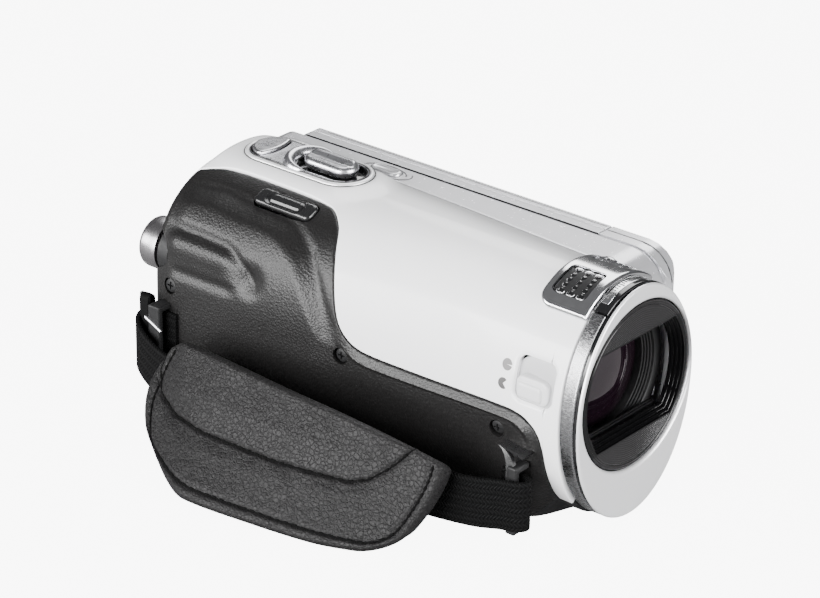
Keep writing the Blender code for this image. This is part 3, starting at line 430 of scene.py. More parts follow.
class Recipe:
    """A node material under construction. Texture coordinates are in millimetres."""

    def __init__(self, name, colour, roughness, metallic=0.0, **sockets):
        self.material = bpy.data.materials.new(name)
        self.material.use_nodes = True
        self.tree = self.material.node_tree
        self.shader = self.tree.nodes["Principled BSDF"]
        values = {"Base Color": (*colour, 1.0), "Roughness": roughness, "Metallic": metallic}
        for socket, value in {**values, **sockets}.items():
            self.shader.inputs[socket].default_value = value
        place = self.add("ShaderNodeTexCoord").outputs["Object"]
        scaled = self.vector_math("SCALE", place, Scale=1.0 / MM)
        self.place = self.vector_math("ADD", scaled, tuple(-ORIGIN / MM))

    def add(self, kind, inputs=None, **attributes):
        node = self.tree.nodes.new(kind)
        for key, value in attributes.items():
            setattr(node, key, value)
        for key, value in (inputs or {}).items():
            if isinstance(value, bpy.types.NodeSocket):
                self.tree.links.new(value, node.inputs[key])
            else:
                node.inputs[key].default_value = value
        return node

    def math(self, operation, a, b=0.0):
        return self.add("ShaderNodeMath", {0: a, 1: b}, operation=operation).outputs[0]

    def times(self, a, b):
        return self.math("MULTIPLY", a, b)

    def vector_math(self, operation, a, b=None, **others):
        inputs = {0: a, **others} if b is None else {0: a, 1: b}
        return self.add("ShaderNodeVectorMath", inputs, operation=operation).outputs[0]

    def stretched(self, scale):
        """Coordinates multiplied by a different number along each axis."""
        return self.vector_math("MULTIPLY", self.place, scale)

    def noise(self, scale, detail=2.0, roughness=0.5, vector=None):
        inputs = {"Vector": vector or self.place, "Scale": scale, "Detail": detail}
        node = self.add("ShaderNodeTexNoise", {**inputs, "Roughness": roughness})
        return node.outputs["Fac"]

    def cells(self, scale, feature="F1", vector=None):
        inputs = {"Vector": vector or self.place, "Scale": scale}
        node = self.add("ShaderNodeTexVoronoi", inputs, feature=feature)
        return node.outputs["Distance"]

    def remap(self, value, low, high, out_low=0.0, out_high=1.0):
        inputs = {"Value": value, "From Min": low, "From Max": high, "To Min": out_low, "To Max": out_high}
        return self.add("ShaderNodeMapRange", inputs, clamp=True).outputs["Result"]

    def split(self, vector=None):
        return self.add("ShaderNodeSeparateXYZ", {0: vector or self.place}).outputs

    def mix(self, factor, first, second):
        node = self.add("ShaderNodeMix", {"Factor": factor}, data_type="RGBA")
        for socket, value in (("A", first), ("B", second)):
            slot = [i for i in node.inputs if i.name == socket and i.type == "RGBA"][0]
            if isinstance(value, bpy.types.NodeSocket):
                self.tree.links.new(value, slot)
            else:
                slot.default_value = (*value, 1.0)
        return [o for o in node.outputs if o.type == "RGBA"][0]

    def colour(self, value):
        self.tree.links.new(value, self.shader.inputs["Base Color"])

    def rough(self, value):
        self.tree.links.new(value, self.shader.inputs["Roughness"])

    def bump(self, height, depth_mm, strength=1.0):
        """height runs from 0 to 1 and stands for this many millimetres."""
        inputs = {"Height": height, "Distance": depth_mm * MM, "Strength": strength}
        previous = self.shader.inputs["Normal"].links
        if previous:
            inputs["Normal"] = previous[0].from_socket
        node = self.add("ShaderNodeBump", inputs)
        self.tree.links.new(node.outputs["Normal"], self.shader.inputs["Normal"])


def moulded(name, light, dark, roughness, texture_mm=0.0, texture_scale=2.5, metallic=0.0, **sockets):
    """Painted or moulded plastic: slow colour drift, uneven gloss and, if asked, a fine texture."""
    recipe = Recipe(name, light, roughness[0], metallic, **sockets)
    recipe.colour(recipe.mix(recipe.noise(0.09, 3.0), dark, light))
    wear = recipe.noise(0.8, 4.0, 0.6)
    recipe.rough(recipe.remap(wear, 0.3, 0.7, roughness[0], roughness[1]))
    recipe.bump(recipe.noise(1.2, 1.0), 0.001, 0.4)
    if texture_mm:
        recipe.bump(recipe.noise(texture_scale, 5.0, 0.62), texture_mm)
    return recipe


def brushed(name, light, dark, roughness, scale, metallic=1.0, strength=0.5, **sockets):
    """Metal with fine lines; scale says how tightly they are packed along each axis."""
    recipe = Recipe(name, light, roughness[0], metallic, **sockets)
    lines = recipe.noise(1.0, 4.0, 0.65, recipe.stretched(scale))
    recipe.colour(recipe.mix(lines, dark, light))
    recipe.rough(recipe.remap(lines, 0.3, 0.7, roughness[0], roughness[1]))
    recipe.bump(lines, 0.01, strength)
    return recipe


LACQUER = {"Coat Weight": 0.5, "Coat Roughness": 0.08}


def silver_paint():
    recipe = moulded("silver_paint_fine", (0.68, 0.68, 0.70), (0.62, 0.62, 0.645), (0.2, 0.28),
                     metallic=0.6, **LACQUER)
    recipe.bump(recipe.noise(6.0, 1.0), 0.0004, 0.4)
    return recipe.material


def ring_metal():
    """The wrinkled metal ring behind the bezel."""
    recipe = Recipe("ring_wrinkled_metal", (0.6, 0.6, 0.61), 0.3, 1.0)
    folds = recipe.noise(0.9, 7.0, 0.6, recipe.stretched((1.6, 0.8, 1.6)))
    fine = recipe.noise(1.0, 5.0, 0.65, recipe.stretched((5.0, 1.2, 5.0)))
    recipe.colour(recipe.mix(fine, (0.22, 0.22, 0.23), (0.46, 0.46, 0.47)))
    recipe.rough(recipe.remap(fine, 0.35, 0.65, 0.16, 0.34))
    recipe.bump(folds, 0.07, 0.6)
    recipe.bump(fine, 0.016, 0.6)
    return recipe.material


def chrome(name, tint, roughness):
    """Plated metal with a faint unevenness in its gloss and tone."""
    recipe = Recipe(name, tint, roughness[0], 1.0)
    smear = recipe.noise(0.5, 3.0)
    recipe.colour(recipe.mix(smear, tuple(0.9 * c for c in tint), tint))
    recipe.rough(recipe.remap(smear, 0.3, 0.7, *roughness))
    recipe.bump(recipe.noise(0.35, 1.0), 0.001, 0.2)
    return recipe.material


def grip_black():
    """Soft-touch grip: charcoal with a fine leather-like grain and slightly warm highlights."""
    recipe = Recipe("grip_soft_grain", (0.012, 0.0115, 0.012), 0.5, **{"Specular IOR Level": 0.34})
    grain = recipe.cells(1.9)
    fine = recipe.noise(3.4, 4.0, 0.62)
    recipe.colour(recipe.mix(fine, (0.003, 0.0029, 0.003), (0.0085, 0.008, 0.0079)))
    recipe.rough(recipe.remap(fine, 0.3, 0.7, 0.3, 0.5))
    recipe.bump(grain, 0.10, 0.7)
    recipe.bump(fine, 0.05, 0.6)
    return recipe.material


def shield_black():
    """The lens shield: gloss black, turned with fine rings about the lens axis."""
    recipe = Recipe("shield_ringed_black", (0.01, 0.01, 0.011), 0.16,
                    **{"Coat Weight": 0.1, "Specular IOR Level": 0.24})
    x, _, z = recipe.split()
    height = recipe.math("SUBTRACT", z, LENS_Z)
    squares = recipe.math("ADD", recipe.times(x, x), recipe.times(height, height))
    radius = recipe.math("SQRT", squares)
    rings = recipe.math("SINE", recipe.times(radius, 2 * math.pi / 0.5))
    outside = recipe.remap(recipe.math("ABSOLUTE", height), 11.9, 12.1)
    fac = recipe.times(recipe.remap(rings, -1.0, 1.0), outside)
    recipe.colour(recipe.mix(fac, (0.002, 0.002, 0.0023), (0.022, 0.021, 0.022)))
    recipe.rough(recipe.remap(recipe.noise(1.5, 3.0), 0.3, 0.7, 0.14, 0.26))
    recipe.bump(fac, 0.05, 0.9)
    return recipe.material


def lens_glass():
    """Front lens: nearly black inside, with a coating that tints its reflections pink."""
    recipe = Recipe(
        "lens_coated_glass", (0.012, 0.008, 0.012), 0.03,
        **{"Coat Weight": 0.7, "Coat Roughness": 0.02, "Coat IOR": 1.6, "Specular IOR Level": 0.5},
    )
    recipe.shader.inputs["Coat Tint"].default_value = (1.0, 0.86, 0.92, 1.0)
    # Toward grazing views the colour turns a dim pink: a painted reflection of the coating.
    depth = recipe.add("ShaderNodeLayerWeight", {"Blend": 0.4}).outputs["Facing"]
    recipe.colour(recipe.mix(depth, (0.002, 0.0016, 0.003), (0.012, 0.006, 0.010)))
    recipe.rough(recipe.remap(recipe.noise(0.3, 2.0), 0.3, 0.7, 0.02, 0.05))
    return recipe.material


def screen_glass():
    """The display: dark glass with a slightly lighter picture area."""
    recipe = Recipe("display_glass", (0.012, 0.013, 0.016), 0.06, **{"Coat Weight": 1.0})
    _, y, z = recipe.split()

    def near(value, middle, reach):
        away = recipe.math("ABSOLUTE", recipe.math("SUBTRACT", value, middle))
        return recipe.math("LESS_THAN", away, reach)

    inside = recipe.times(near(y, 72.0, 31.0), near(z, 31.0, 17.0))
    recipe.colour(recipe.mix(inside, (0.006, 0.006, 0.007), (0.03, 0.033, 0.042)))
    recipe.rough(recipe.remap(recipe.noise(0.4, 2.0), 0.3, 0.7, 0.05, 0.1))
    return recipe.material


def board_green():
    """Circuit board: green lacquer with a grid of fine copper tracks."""
    recipe = Recipe("board_lacquer", (0.02, 0.13, 0.06), 0.35)
    _, y, z = recipe.split()
    upright = recipe.add("ShaderNodeCombineXYZ", {0: y, 1: z}).outputs[0]
    layout = {"Vector": upright, "Scale": 0.5, "Mortar Size": 0.04}
    tracks = recipe.add("ShaderNodeTexBrick", layout)
    recipe.colour(recipe.mix(tracks.outputs["Fac"], (0.02, 0.12, 0.055), (0.10, 0.26, 0.10)))
    recipe.rough(recipe.remap(recipe.noise(0.7, 3.0), 0.3, 0.7, 0.28, 0.45))
    recipe.bump(tracks.outputs["Fac"], 0.05, 0.6)
    return recipe.material


def sensor_dark():
    recipe = Recipe("sensor_iridescent", (0.05, 0.06, 0.11), 0.15, 0.2, **{"Coat Weight": 0.8})
    facing = recipe.add("ShaderNodeLayerWeight", {"Blend": 0.5}).outputs["Facing"]
    recipe.colour(recipe.mix(facing, (0.03, 0.05, 0.12), (0.10, 0.04, 0.10)))
    recipe.bump(recipe.noise(6.0, 1.0), 0.004, 0.4)
    return recipe.material


def leather():
    """Grained leather: cells with creases between them, and a softer wrinkle below."""
    light, dark = (0.0085, 0.008, 0.0083), (0.003, 0.0028, 0.003)
    recipe = Recipe("pad_leather", light, 0.5, **{"Specular IOR Level": 0.22})
    drift = recipe.add("ShaderNodeTexNoise", {"Vector": recipe.place, "Scale": 1.2}).outputs[1]
    warped = recipe.vector_math("ADD", recipe.place, drift)
    grain = recipe.cells(0.95, "DISTANCE_TO_EDGE", warped)
    plateau = recipe.remap(grain, 0.0, 0.16)
    fine = recipe.noise(4.5, 4.0, 0.6)
    wrinkle = recipe.noise(0.35, 4.0, 0.6)
    # The colour darkens in the creases between grain cells: painted shade; the fine noise adds a real tone
    # drift.
    crease_shade_and_tone = recipe.times(plateau, recipe.remap(fine, 0.2, 0.8, 0.55, 1.0))
    recipe.colour(recipe.mix(crease_shade_and_tone, dark, light))
    recipe.rough(recipe.remap(fine, 0.3, 0.7, 0.42, 0.6))
    recipe.bump(wrinkle, 0.8, 0.6)
    recipe.bump(plateau, 0.11, 0.75)
    recipe.bump(fine, 0.07, 0.6)
    return recipe.material


def thread():
    recipe = Recipe("stitch_thread", (0.003, 0.003, 0.003), 0.8, **{"Specular IOR Level": 0.1})
    twist = recipe.add(
        "ShaderNodeTexWave", {"Vector": recipe.place, "Scale": 2.2, "Distortion": 1.0},
        wave_type="BANDS", bands_direction="DIAGONAL",
    ).outputs["Fac"]
    recipe.colour(recipe.mix(twist, (0.0008, 0.0008, 0.0008), (0.003, 0.003, 0.003)))
    recipe.bump(twist, 0.08, 0.8)
    return recipe.material


def webbing():
    """Woven strap: a herringbone of thick threads along the band, from the mesh's own UVs in mm."""
    rows_per_mm, threads_per_mm = 0.41, 1.25
    recipe = Recipe("strap_weave", (0.003, 0.003, 0.003), 0.8, **{"Specular IOR Level": 0.08})
    uv = recipe.add("ShaderNodeUVMap", uv_map="band").outputs["UV"]
    run, across, _ = recipe.split(uv)
    row = recipe.math("FRACT", recipe.times(across, rows_per_mm))
    fold = recipe.math("ABSOLUTE", recipe.math("SUBTRACT", row, 0.5))
    slant = recipe.math("ADD", recipe.times(run, threads_per_mm), recipe.times(fold, 2.4))
    weft = recipe.math("SINE", recipe.times(slant, 2 * math.pi))
    waves = recipe.math("SINE", recipe.times(across, rows_per_mm * 2 * math.pi))
    warp = recipe.math("ABSOLUTE", waves)
    height = recipe.math("ADD", recipe.remap(weft, -1.0, 1.0, 0.0, 0.6), recipe.times(warp, 0.4))
    # The colour darkens where the weave lies low: painted shade between the threads.
    recipe.colour(recipe.mix(height, (0.0006, 0.0006, 0.0006), (0.0032, 0.0032, 0.0034)))
    recipe.rough(recipe.remap(height, 0.0, 1.0, 0.9, 0.6))
    recipe.bump(height, 0.3, 0.8)
    recipe.bump(recipe.noise(5.0, 3.0), 0.05, 0.6)
    return recipe.material


# Mouldings: a look's name, then its material's name, two tones, range of roughness and settings.
MOULDINGS = (
    ("pearl_white", "pearl_white_paint", (0.86, 0.86, 0.87), (0.82, 0.82, 0.835), (0.2, 0.27), LACQUER),
    ("gloss_black", "gloss_black_plastic", (0.006, 0.006, 0.0065), (0.004, 0.004, 0.0045), (0.08, 0.16),
     {"Coat Weight": 0.6, "Coat Roughness": 0.05}),
    ("matte_black", "matte_black_plastic", (0.013, 0.013, 0.0135), (0.008, 0.008, 0.0085), (0.42, 0.6),
     {"texture_mm": 0.02, "texture_scale": 4.5, "Specular IOR Level": 0.25}),
    ("battery_grey", "battery_case", (0.12, 0.12, 0.13), (0.085, 0.085, 0.09), (0.45, 0.6),
     {"texture_mm": 0.02, "texture_scale": 3.0}),
    ("card_blue", "card_case", (0.05, 0.08, 0.2), (0.035, 0.06, 0.15), (0.38, 0.5),
     {"texture_mm": 0.012}),
    ("rubber", "flap_satin_black", (0.009, 0.009, 0.0095), (0.006, 0.006, 0.0065), (0.2, 0.3),
     {"Specular IOR Level": 0.6}),
    ("lug_black", "lug_satin_black", (0.012, 0.012, 0.0125), (0.008, 0.008, 0.0085), (0.24, 0.34), {}),
    # Greyed copies of the white paint for the switch pocket and its knob: painted shade.
    ("pocket_white_shaded", "pocket_white_shaded", (0.42, 0.42, 0.43), (0.37, 0.37, 0.38), (0.3, 0.4), {}),
    ("knob_white_shaded", "knob_white_shaded", (0.66, 0.66, 0.67), (0.6, 0.6, 0.61), (0.2, 0.28), {}),
    # Thin dark lines laid along gaps, seams and grooves: painted shade.
    ("gap_shade_line", "painted_gap_shade", (0.02, 0.02, 0.022), (0.012, 0.012, 0.013), (0.4, 0.5), {}),
    ("icon_nearly_closed", "icon_ink_open", (0.15, 0.145, 0.145), (0.1275, 0.12325, 0.12325),
     (0.4, 0.5), {}),
    ("icon_open", "icon_ink_shut", (0.07, 0.067, 0.067), (0.0595, 0.05695, 0.05695), (0.4, 0.5), {}),
)
# Plain metals: a look's name, then its material's name, two tones, range of roughness and line density.
METALS = (
    ("gunmetal", "gunmetal_brushed", (0.36, 0.35, 0.355), (0.26, 0.25, 0.255), (0.22, 0.34),
     (3.0, 3.0, 3.0)),
    ("steel", "steel_plain", (0.66, 0.66, 0.68), (0.52, 0.52, 0.54), (0.26, 0.4), (2.0, 9.0, 2.0)),
    ("record_metal", "record_spun_metal", (0.4, 0.39, 0.4), (0.28, 0.27, 0.28), (0.24, 0.36),
     (1.0, 12.0, 1.0)),
)
LOOKS = {
    "silver_paint": silver_paint(), "ring_metal": ring_metal(), "grip_black": grip_black(),
    "shield": shield_black(), "lens_glass": lens_glass(), "screen_glass": screen_glass(),
    "board_green": board_green(), "sensor_dark": sensor_dark(), "leather": leather(),
    "webbing": webbing(), "thread": thread(),
    "chrome": chrome("chrome_plating", (0.80, 0.80, 0.82), (0.12, 0.18)),
    "satin": chrome("satin_plating", (0.66, 0.66, 0.69), (0.24, 0.32)),
    "mode_satin": chrome("mode_satin", (0.56, 0.56, 0.58), (0.22, 0.3)),
    "bezel_silver": brushed(
        "bezel_satin", (0.92, 0.92, 0.93), (0.84, 0.84, 0.86), (0.3, 0.42), (0.25, 1.0, 14.0),
        metallic=0.55, strength=0.35,
    ).material,
}
for look, name, light, dark, roughness, settings in MOULDINGS:
    LOOKS[look] = moulded(name, light, dark, roughness, **settings).material
for look, name, light, dark, roughness, lines in METALS:
    LOOKS[look] = brushed(name, light, dark, roughness, lines).material


# ------------------------------------------------------------------ the housing's outer form


def deck_height(y):
    """The silver deck is flat and rounds down at its front end."""
    radius, start = 9.0, 18.0
    back = np.clip(start - np.asarray(y, float), 0.0, radius)
    return DECK_Z - radius + np.sqrt(np.maximum(radius**2 - back**2, 0.0))


def section(y):
    """Core x, left edge, top, and the fullness of the upper and lower corners at a station."""
    core_x = FACE_X + 4.6 * ramp(15.0, 105.0, y)
    left = FACE_X - FACE_HALF_WIDTH - 5.2 * ramp(25.0, 110.0, y)
    top = CORE_Z + FACE_HALF_HEIGHT - 0.5 * ramp(15.0, 105.0, y)
    upper = 2.0 + 0.6 * ramp(5.0, 90.0, y)
    lower = 2.2 + 3.8 * ramp(9.0, 17.0, y)
    return core_x, left, top, upper, lower


def barrel_radius(y, angle):
    """Distance from the core to the rounded barrel, without the flat deck beside it."""
    core_x, left, top, upper, lower = section(y)
    c, s = np.cos(angle), np.sin(angle)
    width = np.where(c < 0, core_x - left, WALL_X - core_x)
    height = np.where(s > 0, top - CORE_Z, CORE_Z + 1.2 * ramp(9.0, 17.0, y) - 0.8)
    power = np.where(s > 0, upper, lower)
    radius = ((np.abs(c) / width) ** power + (np.abs(s) / height) ** power) ** (-1.0 / power)
    return np.where(s < -0.1, np.minimum(radius, CORE_Z / np.maximum(-s, 0.1)), radius)


def skin_radius(y, angle):
    """Distance from the core to the outer surface of the whole housing."""
    radius = barrel_radius(y, angle)
    c, s = np.cos(angle), np.sin(angle)
    corner = (c > 1e-6) & (s > 1e-6)
    beside = (WALL_X - section(y)[0]) / np.where(corner, c, 1.0)
    above = (deck_height(y) - CORE_Z) / np.where(corner, s, 1.0)
    return np.where(corner, np.maximum(radius, np.minimum(beside, above)), radius)


def rear_inset(y):
    """How far the outer surface draws in as it rounds over to the rear face."""
    behind = np.clip(np.asarray(y, float) - (BODY_REAR + 0.6 - REAR_ROUND), 0.0, REAR_ROUND)
    return REAR_ROUND - np.sqrt(np.maximum(REAR_ROUND**2 - behind**2, 0.0))


def polar(y, degrees, radius):
    angle = np.radians(degrees)
    x = section(y)[0] + radius * np.cos(angle)
    return np.stack(np.broadcast_arrays(x, y, CORE_Z + radius * np.sin(angle)), axis=-1)


def skin(y, degrees, lift=0.0):
    """Points of the outer surface, lifted off it by this much."""
    y, degrees = np.asarray(y, float), np.asarray(degrees, float)
    return polar(y, degrees, skin_radius(y, np.radians(degrees)) - rear_inset(y) + lift)


def inner_skin(y, degrees, wall):
    y, degrees = np.asarray(y, float), np.asarray(degrees, float)
    inset = np.maximum(rear_inset(y) + 0.5, wall)
    return polar(y, degrees, skin_radius(y, np.radians(degrees)) - inset)


def bisect(low, high, short_of):
    """The place between low and high up to which short_of() holds."""
    for _ in range(40):
        middle = (low + high) / 2
        short = short_of(middle)
        low, high = np.where(short, middle, low), np.where(short, high, middle)
    return (low + high) / 2


def crease(y):
    """The angle, in degrees, where the barrel meets the flat deck."""
    deck = deck_height(y) - CORE_Z

    def below_deck(degrees):
        angle = np.radians(degrees)
        return barrel_radius(y, angle) < deck / np.sin(angle)

    return float(bisect(20.0, 88.0, below_deck))


def deck_corner(y):
    """The angle of the edge between the deck and the flat side wall."""
    return math.degrees(math.atan2(deck_height(y) - CORE_Z, WALL_X - section(y)[0]))


def skin_over(x, y, lift=0.0):
    """Points of the upper surface straight above or below plan positions."""
    x, y = np.broadcast_arrays(np.asarray(x, float), np.asarray(y, float))
    low, high = np.full(x.shape, 60.0), np.full(x.shape, 150.0)
    return skin(y, bisect(low, high, lambda degrees: skin(y, degrees)[..., 0] >= x), lift)


SEAM_STATIONS = np.concatenate((np.linspace(9.4, 11.0, 80), np.linspace(11.2, 119.9, 380)))
SEAM_LINE = [(y, along(GRIP_SEAM, y) * MM_PER_DEGREE) for y in SEAM_STATIONS]
EDGE_STEPS = (0.06, 0.14, 0.24, 0.36, 0.5, 0.7)  # mm from an edge


def seam_distance(y, degrees):
    """How far each point lies from the edge between the white cover and the grip, in mm."""
    points = np.column_stack((np.ravel(y), np.ravel(degrees) * MM_PER_DEGREE))
    return distance_to_line(points, SEAM_LINE).reshape(np.shape(degrees))


# ------------------------------------------------------------------ covers


def island_mound(points):
    """How far the white cover rises to meet the rim of the control island."""
    out = box_distance(points[..., 0], points[..., 1], ISLAND, ISLAND_HALF, ISLAND_HALF[0] - 0.01)
    wanted = 55.8 - points[..., 2]
    return np.maximum(wanted, 0.0) * (1.0 - ramp(0.2, 7.5, out)) * (points[..., 2] > 40.0)


def white_relief(y, degrees):
    """Rounded edges of the white cover, the mound around the island and the pocket's soft rim."""
    base = skin(y, degrees)
    from_crease = (degrees - degrees[:, :1]) * MM_PER_DEGREE_DECK
    lift = island_mound(base) * ramp(0.0, 4.0, from_crease)
    lift -= edge_drop(seam_distance(y, degrees) - 0.08, 0.4)
    lift -= edge_drop(from_crease, 0.5)
    lift -= edge_drop(y - BODY_FRONT, 0.45)
    pocket = box_distance(y, base[..., 2], SWITCH, SWITCH_HALF, 2.0)
    left = base[..., 0] < -5.0
    lift -= np.where(left, edge_drop(np.maximum(pocket, 0.0) + 0.05, 0.9), 0.0)
    return lift


BULGE = (
    (60.0, 178.0), (68.0, 171.7), (70.3, 165.4), (74.0, 153.2), (78.2, 142.8), (82.3, 137.6),
    (86.8, 134.1), (92.6, 133.4), (99.3, 133.4), (107.3, 131.8), (119.4, 134.8),
)


def grip_relief(y, degrees):
    """The moulded form of the grip: bulge, thumb hollow and ridge, and the lip along the seam."""
    y, degrees = np.asarray(y, float), np.asarray(degrees, float)
    seam = seam_distance(y, degrees)
    lift = -edge_drop(seam - 0.08, 0.4)
    ends = (1.0 - ramp(112.0, 118.5, y)) * (1.0 - ramp(204.0, 226.0, degrees))

    lower_half = ramp(11.0, 15.0, y) * (1.0 - ramp(57.0, 68.0, y))
    slope = np.clip(seam / 2.4, 0.0, 1.0) - 0.35 * ramp(2.3, 3.3, seam) - 0.45 * ramp(3.3, 14.0, seam)
    lift += 1.1 * slope * lower_half * (1.0 - ramp(212.0, 232.0, degrees))

    line = [(u, a * MM_PER_DEGREE) for u, a in BULGE]
    points = np.column_stack((y.ravel(), degrees.ravel() * MM_PER_DEGREE))
    away = distance_to_line(points, line).reshape(y.shape)
    signed = np.where(degrees > follow(BULGE, y), away, -away)
    behind = ramp(64.0, 73.0, y)
    lift += (1.25 * ramp(-0.4, 3.6, signed) - 0.5 * bell(signed + 1.6, 2.2)) * behind * ends

    ridge = bell(degrees - 157.5, 7.5) * ramp(95.0, 98.0, y) * (1.0 - ramp(112.0, 117.0, y))
    lift += 0.8 * ridge
    groove = bell(degrees - follow(((87.0, 168.0), (92.3, 157.0), (99.0, 151.5), (117.0, 150.5)), y), 4.2)
    lift -= 0.7 * groove * ramp(87.0, 92.0, y) * ends
    hollow = np.hypot((y - 90.0) / 5.5, (degrees - 161.5) / 10.0)
    lift -= 1.5 * bell(hollow, 1.0)
    valley = bell(degrees - 168.5, 4.0) * ramp(92.0, 97.0, y) * (1.0 - ramp(110.0, 115.0, y))
    lift -= 0.6 * valley
    return lift


SCREW_PLACES = (("front", 21.5, 194.2), ("middle", 64.6, 183.0), ("rear", 113.2, 176.1))


def lift_at(y, degrees):
    return float(grip_relief(np.array([[y]]), np.array([[degrees]]))[0, 0])


def upright_on_skin(y, degrees, lift):
    """A matrix in mm that takes local +Z to the outward direction at a point of the skin."""
    turn = Matrix.Rotation(math.radians(90.0 - degrees), 4, "Y")
    return Matrix.Translation(Vector(skin(y, degrees, lift))) @ turn


def on_skin(solid, y, degrees, lift=0.0):
    matrix = np.array(upright_on_skin(y, degrees, lift))
    points = solid[0] @ matrix[:3, :3].T + matrix[:3, 3]
    return points, solid[1]


def make_cover(name, look, node, stations, columns, relief, wall, openings):
    """A cover of the housing: its angles at a station, relief, wall and groups of openings."""
    rows = np.array([columns(y) for y in stations])
    y = np.repeat(stations[:, None], rows.shape[1], axis=1)
    outer = skin(y, rows, relief(y, rows))
    cover = make(name, grid_solid(outer, inner_skin(y, rows, wall)), look, replaces=[node])
    for group in openings:
        cut(cover, join(group))


def dense_stations(start, zones):
    """Stations from start on; zones is a list of (end, spacing)."""
    values = [np.array([start])]
    for end, spacing in zones:
        first = values[-1][-1]
        count = max(int(round((end - first) / spacing)), 1)
        values.append(first + (end - first) * np.arange(1, count + 1) / count)
    return np.concatenate(values)


FINE_DEGREES = [step / MM_PER_DEGREE for step in EDGE_STEPS]
RECORD_RECESS = ((114.6, 6.8), (130.0, 6.8))  # (depth, radius) of the round hole in the rear


def build_white_cover():
    zones = ((6.0, 0.12), (9.4, 0.35), (11.2, 0.07), (19.0, 0.28), (58.0, 1.0), (76.0, 0.3),
             (116.0, 0.8), (BODY_REAR, 0.3))

    def columns(y):
        return graded(crease(y) + 0.25, along(GRIP_SEAM, y) - 0.2, 118, FINE_DEGREES)

    pocket = prism(rounded_rectangle(SWITCH, SWITCH_HALF, 2.0, 8), "x", -30.0, -12.0)
    well = prism(stadium(*shrink(ISLAND, ISLAND_HALF, 1.6)), "z", 45.0, 60.0)
    make_cover("white_cover", "pearl_white", "top_cover", dense_stations(BODY_FRONT, zones),
               columns, white_relief, 1.9, [[pocket, well]])


def build_grip_cover():
    zones = ((11.2, 0.07), (16.0, 0.3), (58.0, 0.8), (78.0, 0.35), (117.0, 0.6), (BODY_REAR, 0.3))

    def columns(y):
        return graded(along(GRIP_SEAM, y) + 0.2, BOTTOM_LEFT - 0.3, 96, FINE_DEGREES)

    through = lathe_solid(((-4.0, 2.0), (4.0, 2.0)), "z", (0.0, 0.0), 32)
    holes = [on_skin(through, y, a) for _, y, a in SCREW_PLACES]
    half = (JACK_HALF[0] + 0.2, JACK_HALF[1] + 0.2)
    pocket = prism(rounded_rectangle(JACK_MIDDLE, half, 1.6), "z", 44.0, 60.0)
    recess = lathe_solid(RECORD_RECESS, "y", RECORD, 64)
    make_cover("grip_shell", "grip_black", "grip_cover", dense_stations(GRIP_FRONT, zones),
               columns, grip_relief, 2.2, [holes, [pocket, recess]])


def build_side_cover():
    """The silver deck beside the barrel and the flat wall behind the screen."""
    zones = ((6.0, 0.12), (18.0, 0.5), (116.0, 2.0), (BODY_REAR, 0.3))

    def columns(y):
        corner = deck_corner(y)
        deck = graded(crease(y) - 0.25, corner + 1.6, 24, (0.15, 0.35, 0.6, 1.0))
        bend = np.linspace(corner + 1.4, corner - 1.4, 9)
        wall = np.linspace(corner - 1.8, -30.0, 14)
        rest = np.linspace(-31.5, BOTTOM_RIGHT - 360.0 + 0.3, 18)
        return np.concatenate((deck, bend, wall, rest))

    def relief(y, degrees):
        corners = np.array([deck_corner(v) for v in y[:, 0]])[:, None]
        lift = -0.45 * bell(degrees - corners, 1.6)
        lift -= edge_drop((degrees[:, :1] - degrees) * MM_PER_DEGREE_DECK, 0.45)
        lift -= edge_drop(y - BODY_FRONT, 0.45)
        return lift

    button = prism(stadium(PHOTO, (2.15, 4.55)), "z", 48.0, 58.0)
    power = lathe_solid(((15.0, 2.9), (24.0, 2.9)), "x", POWER, 48)
    lugs = [prism(rounded_rectangle((19.5, low + 2.5), (4.5, 2.8), 0.3, 2), "y", 8.7, 14.6)
            for low in (20.0, 37.0)]
    make_cover("silver_side", "silver_paint", "side_cover", dense_stations(BODY_FRONT, zones),
               columns, relief, 1.9, [[button, power, *lugs]])


def build_bottom_cover():
    zones = ((6.2, 0.2), (18.0, 0.5), (116.0, 2.5), (BODY_REAR, 0.3))
    left, right = BOTTOM_LEFT + 0.3, BOTTOM_RIGHT - 0.3

    def columns(_):
        return graded(left, right, 44, (0.2, 0.5, 0.9, 1.4))

    def relief(y, degrees):
        inside = np.minimum(degrees - left, right - degrees) * 0.5
        return -edge_drop(inside, 0.5) - edge_drop(y - BODY_FRONT, 0.5)

    door = prism(rounded_rectangle((0.5, 82.0), (13.8, 31.3), 1.2), "z", -2.0, 2.35)
    bush = lathe_solid(((-1.0, 5.3), (6.0, 5.3)), "z", (0.0, 36.0), 64)
    make_cover("base_cover", "matte_black", "bottom_cover", dense_stations(BODY_FRONT, zones),
               columns, relief, 1.9, [[door, bush]])


def build_rear_cover():
    """The back plate: a flat field inside a rounded rim, with a shallow outline groove."""

    def outline(inset, count=160):
        angles = np.linspace(0.0, 360.0, count, endpoint=False)
        y = np.full(count, 112.0)
        points = polar(y, angles, skin_radius(y, np.radians(angles)) - inset)
        return points[:, (0, 2)]

    layers = layered(outline, (
        (117.4, 2.75), (118.9, 2.75), (119.3, 2.85), (119.65, 3.1), (119.9, 3.5), (119.98, 3.9),
        (120.0, 4.4), (120.0, 6.4), (119.75, 6.55), (119.75, 6.8), (120.0, 6.95), (120.0, 7.2),
    ))
    plate = make("back_plate", stack_solid(layers, "y"), "silver_paint", replaces=["rear_cover"])
    tools = [lathe_solid(RECORD_RECESS, "y", RECORD, 64)]
    for row in range(6):
        slot = rounded_rectangle((2.0, 26.0 + 1.6 * row), (5.0 - abs(row - 2.5) * 0.6, 0.32), 0.3, 3)
        tools.append(prism(slot, "y", 119.2, 122.0))
    tools.append(lathe_solid(((119.4, 0.9), (122.0, 0.9)), "y", (-8.0, 45.0), 24))
    cut(plate, join(tools))
    lamp = lathe_solid(((119.3, 0.8), (119.7, 0.8), (119.85, 0.5), (119.9, 0.0)), "y", (-8.0, 45.0), 24)
    make("status_lamp", lamp, "gloss_black")


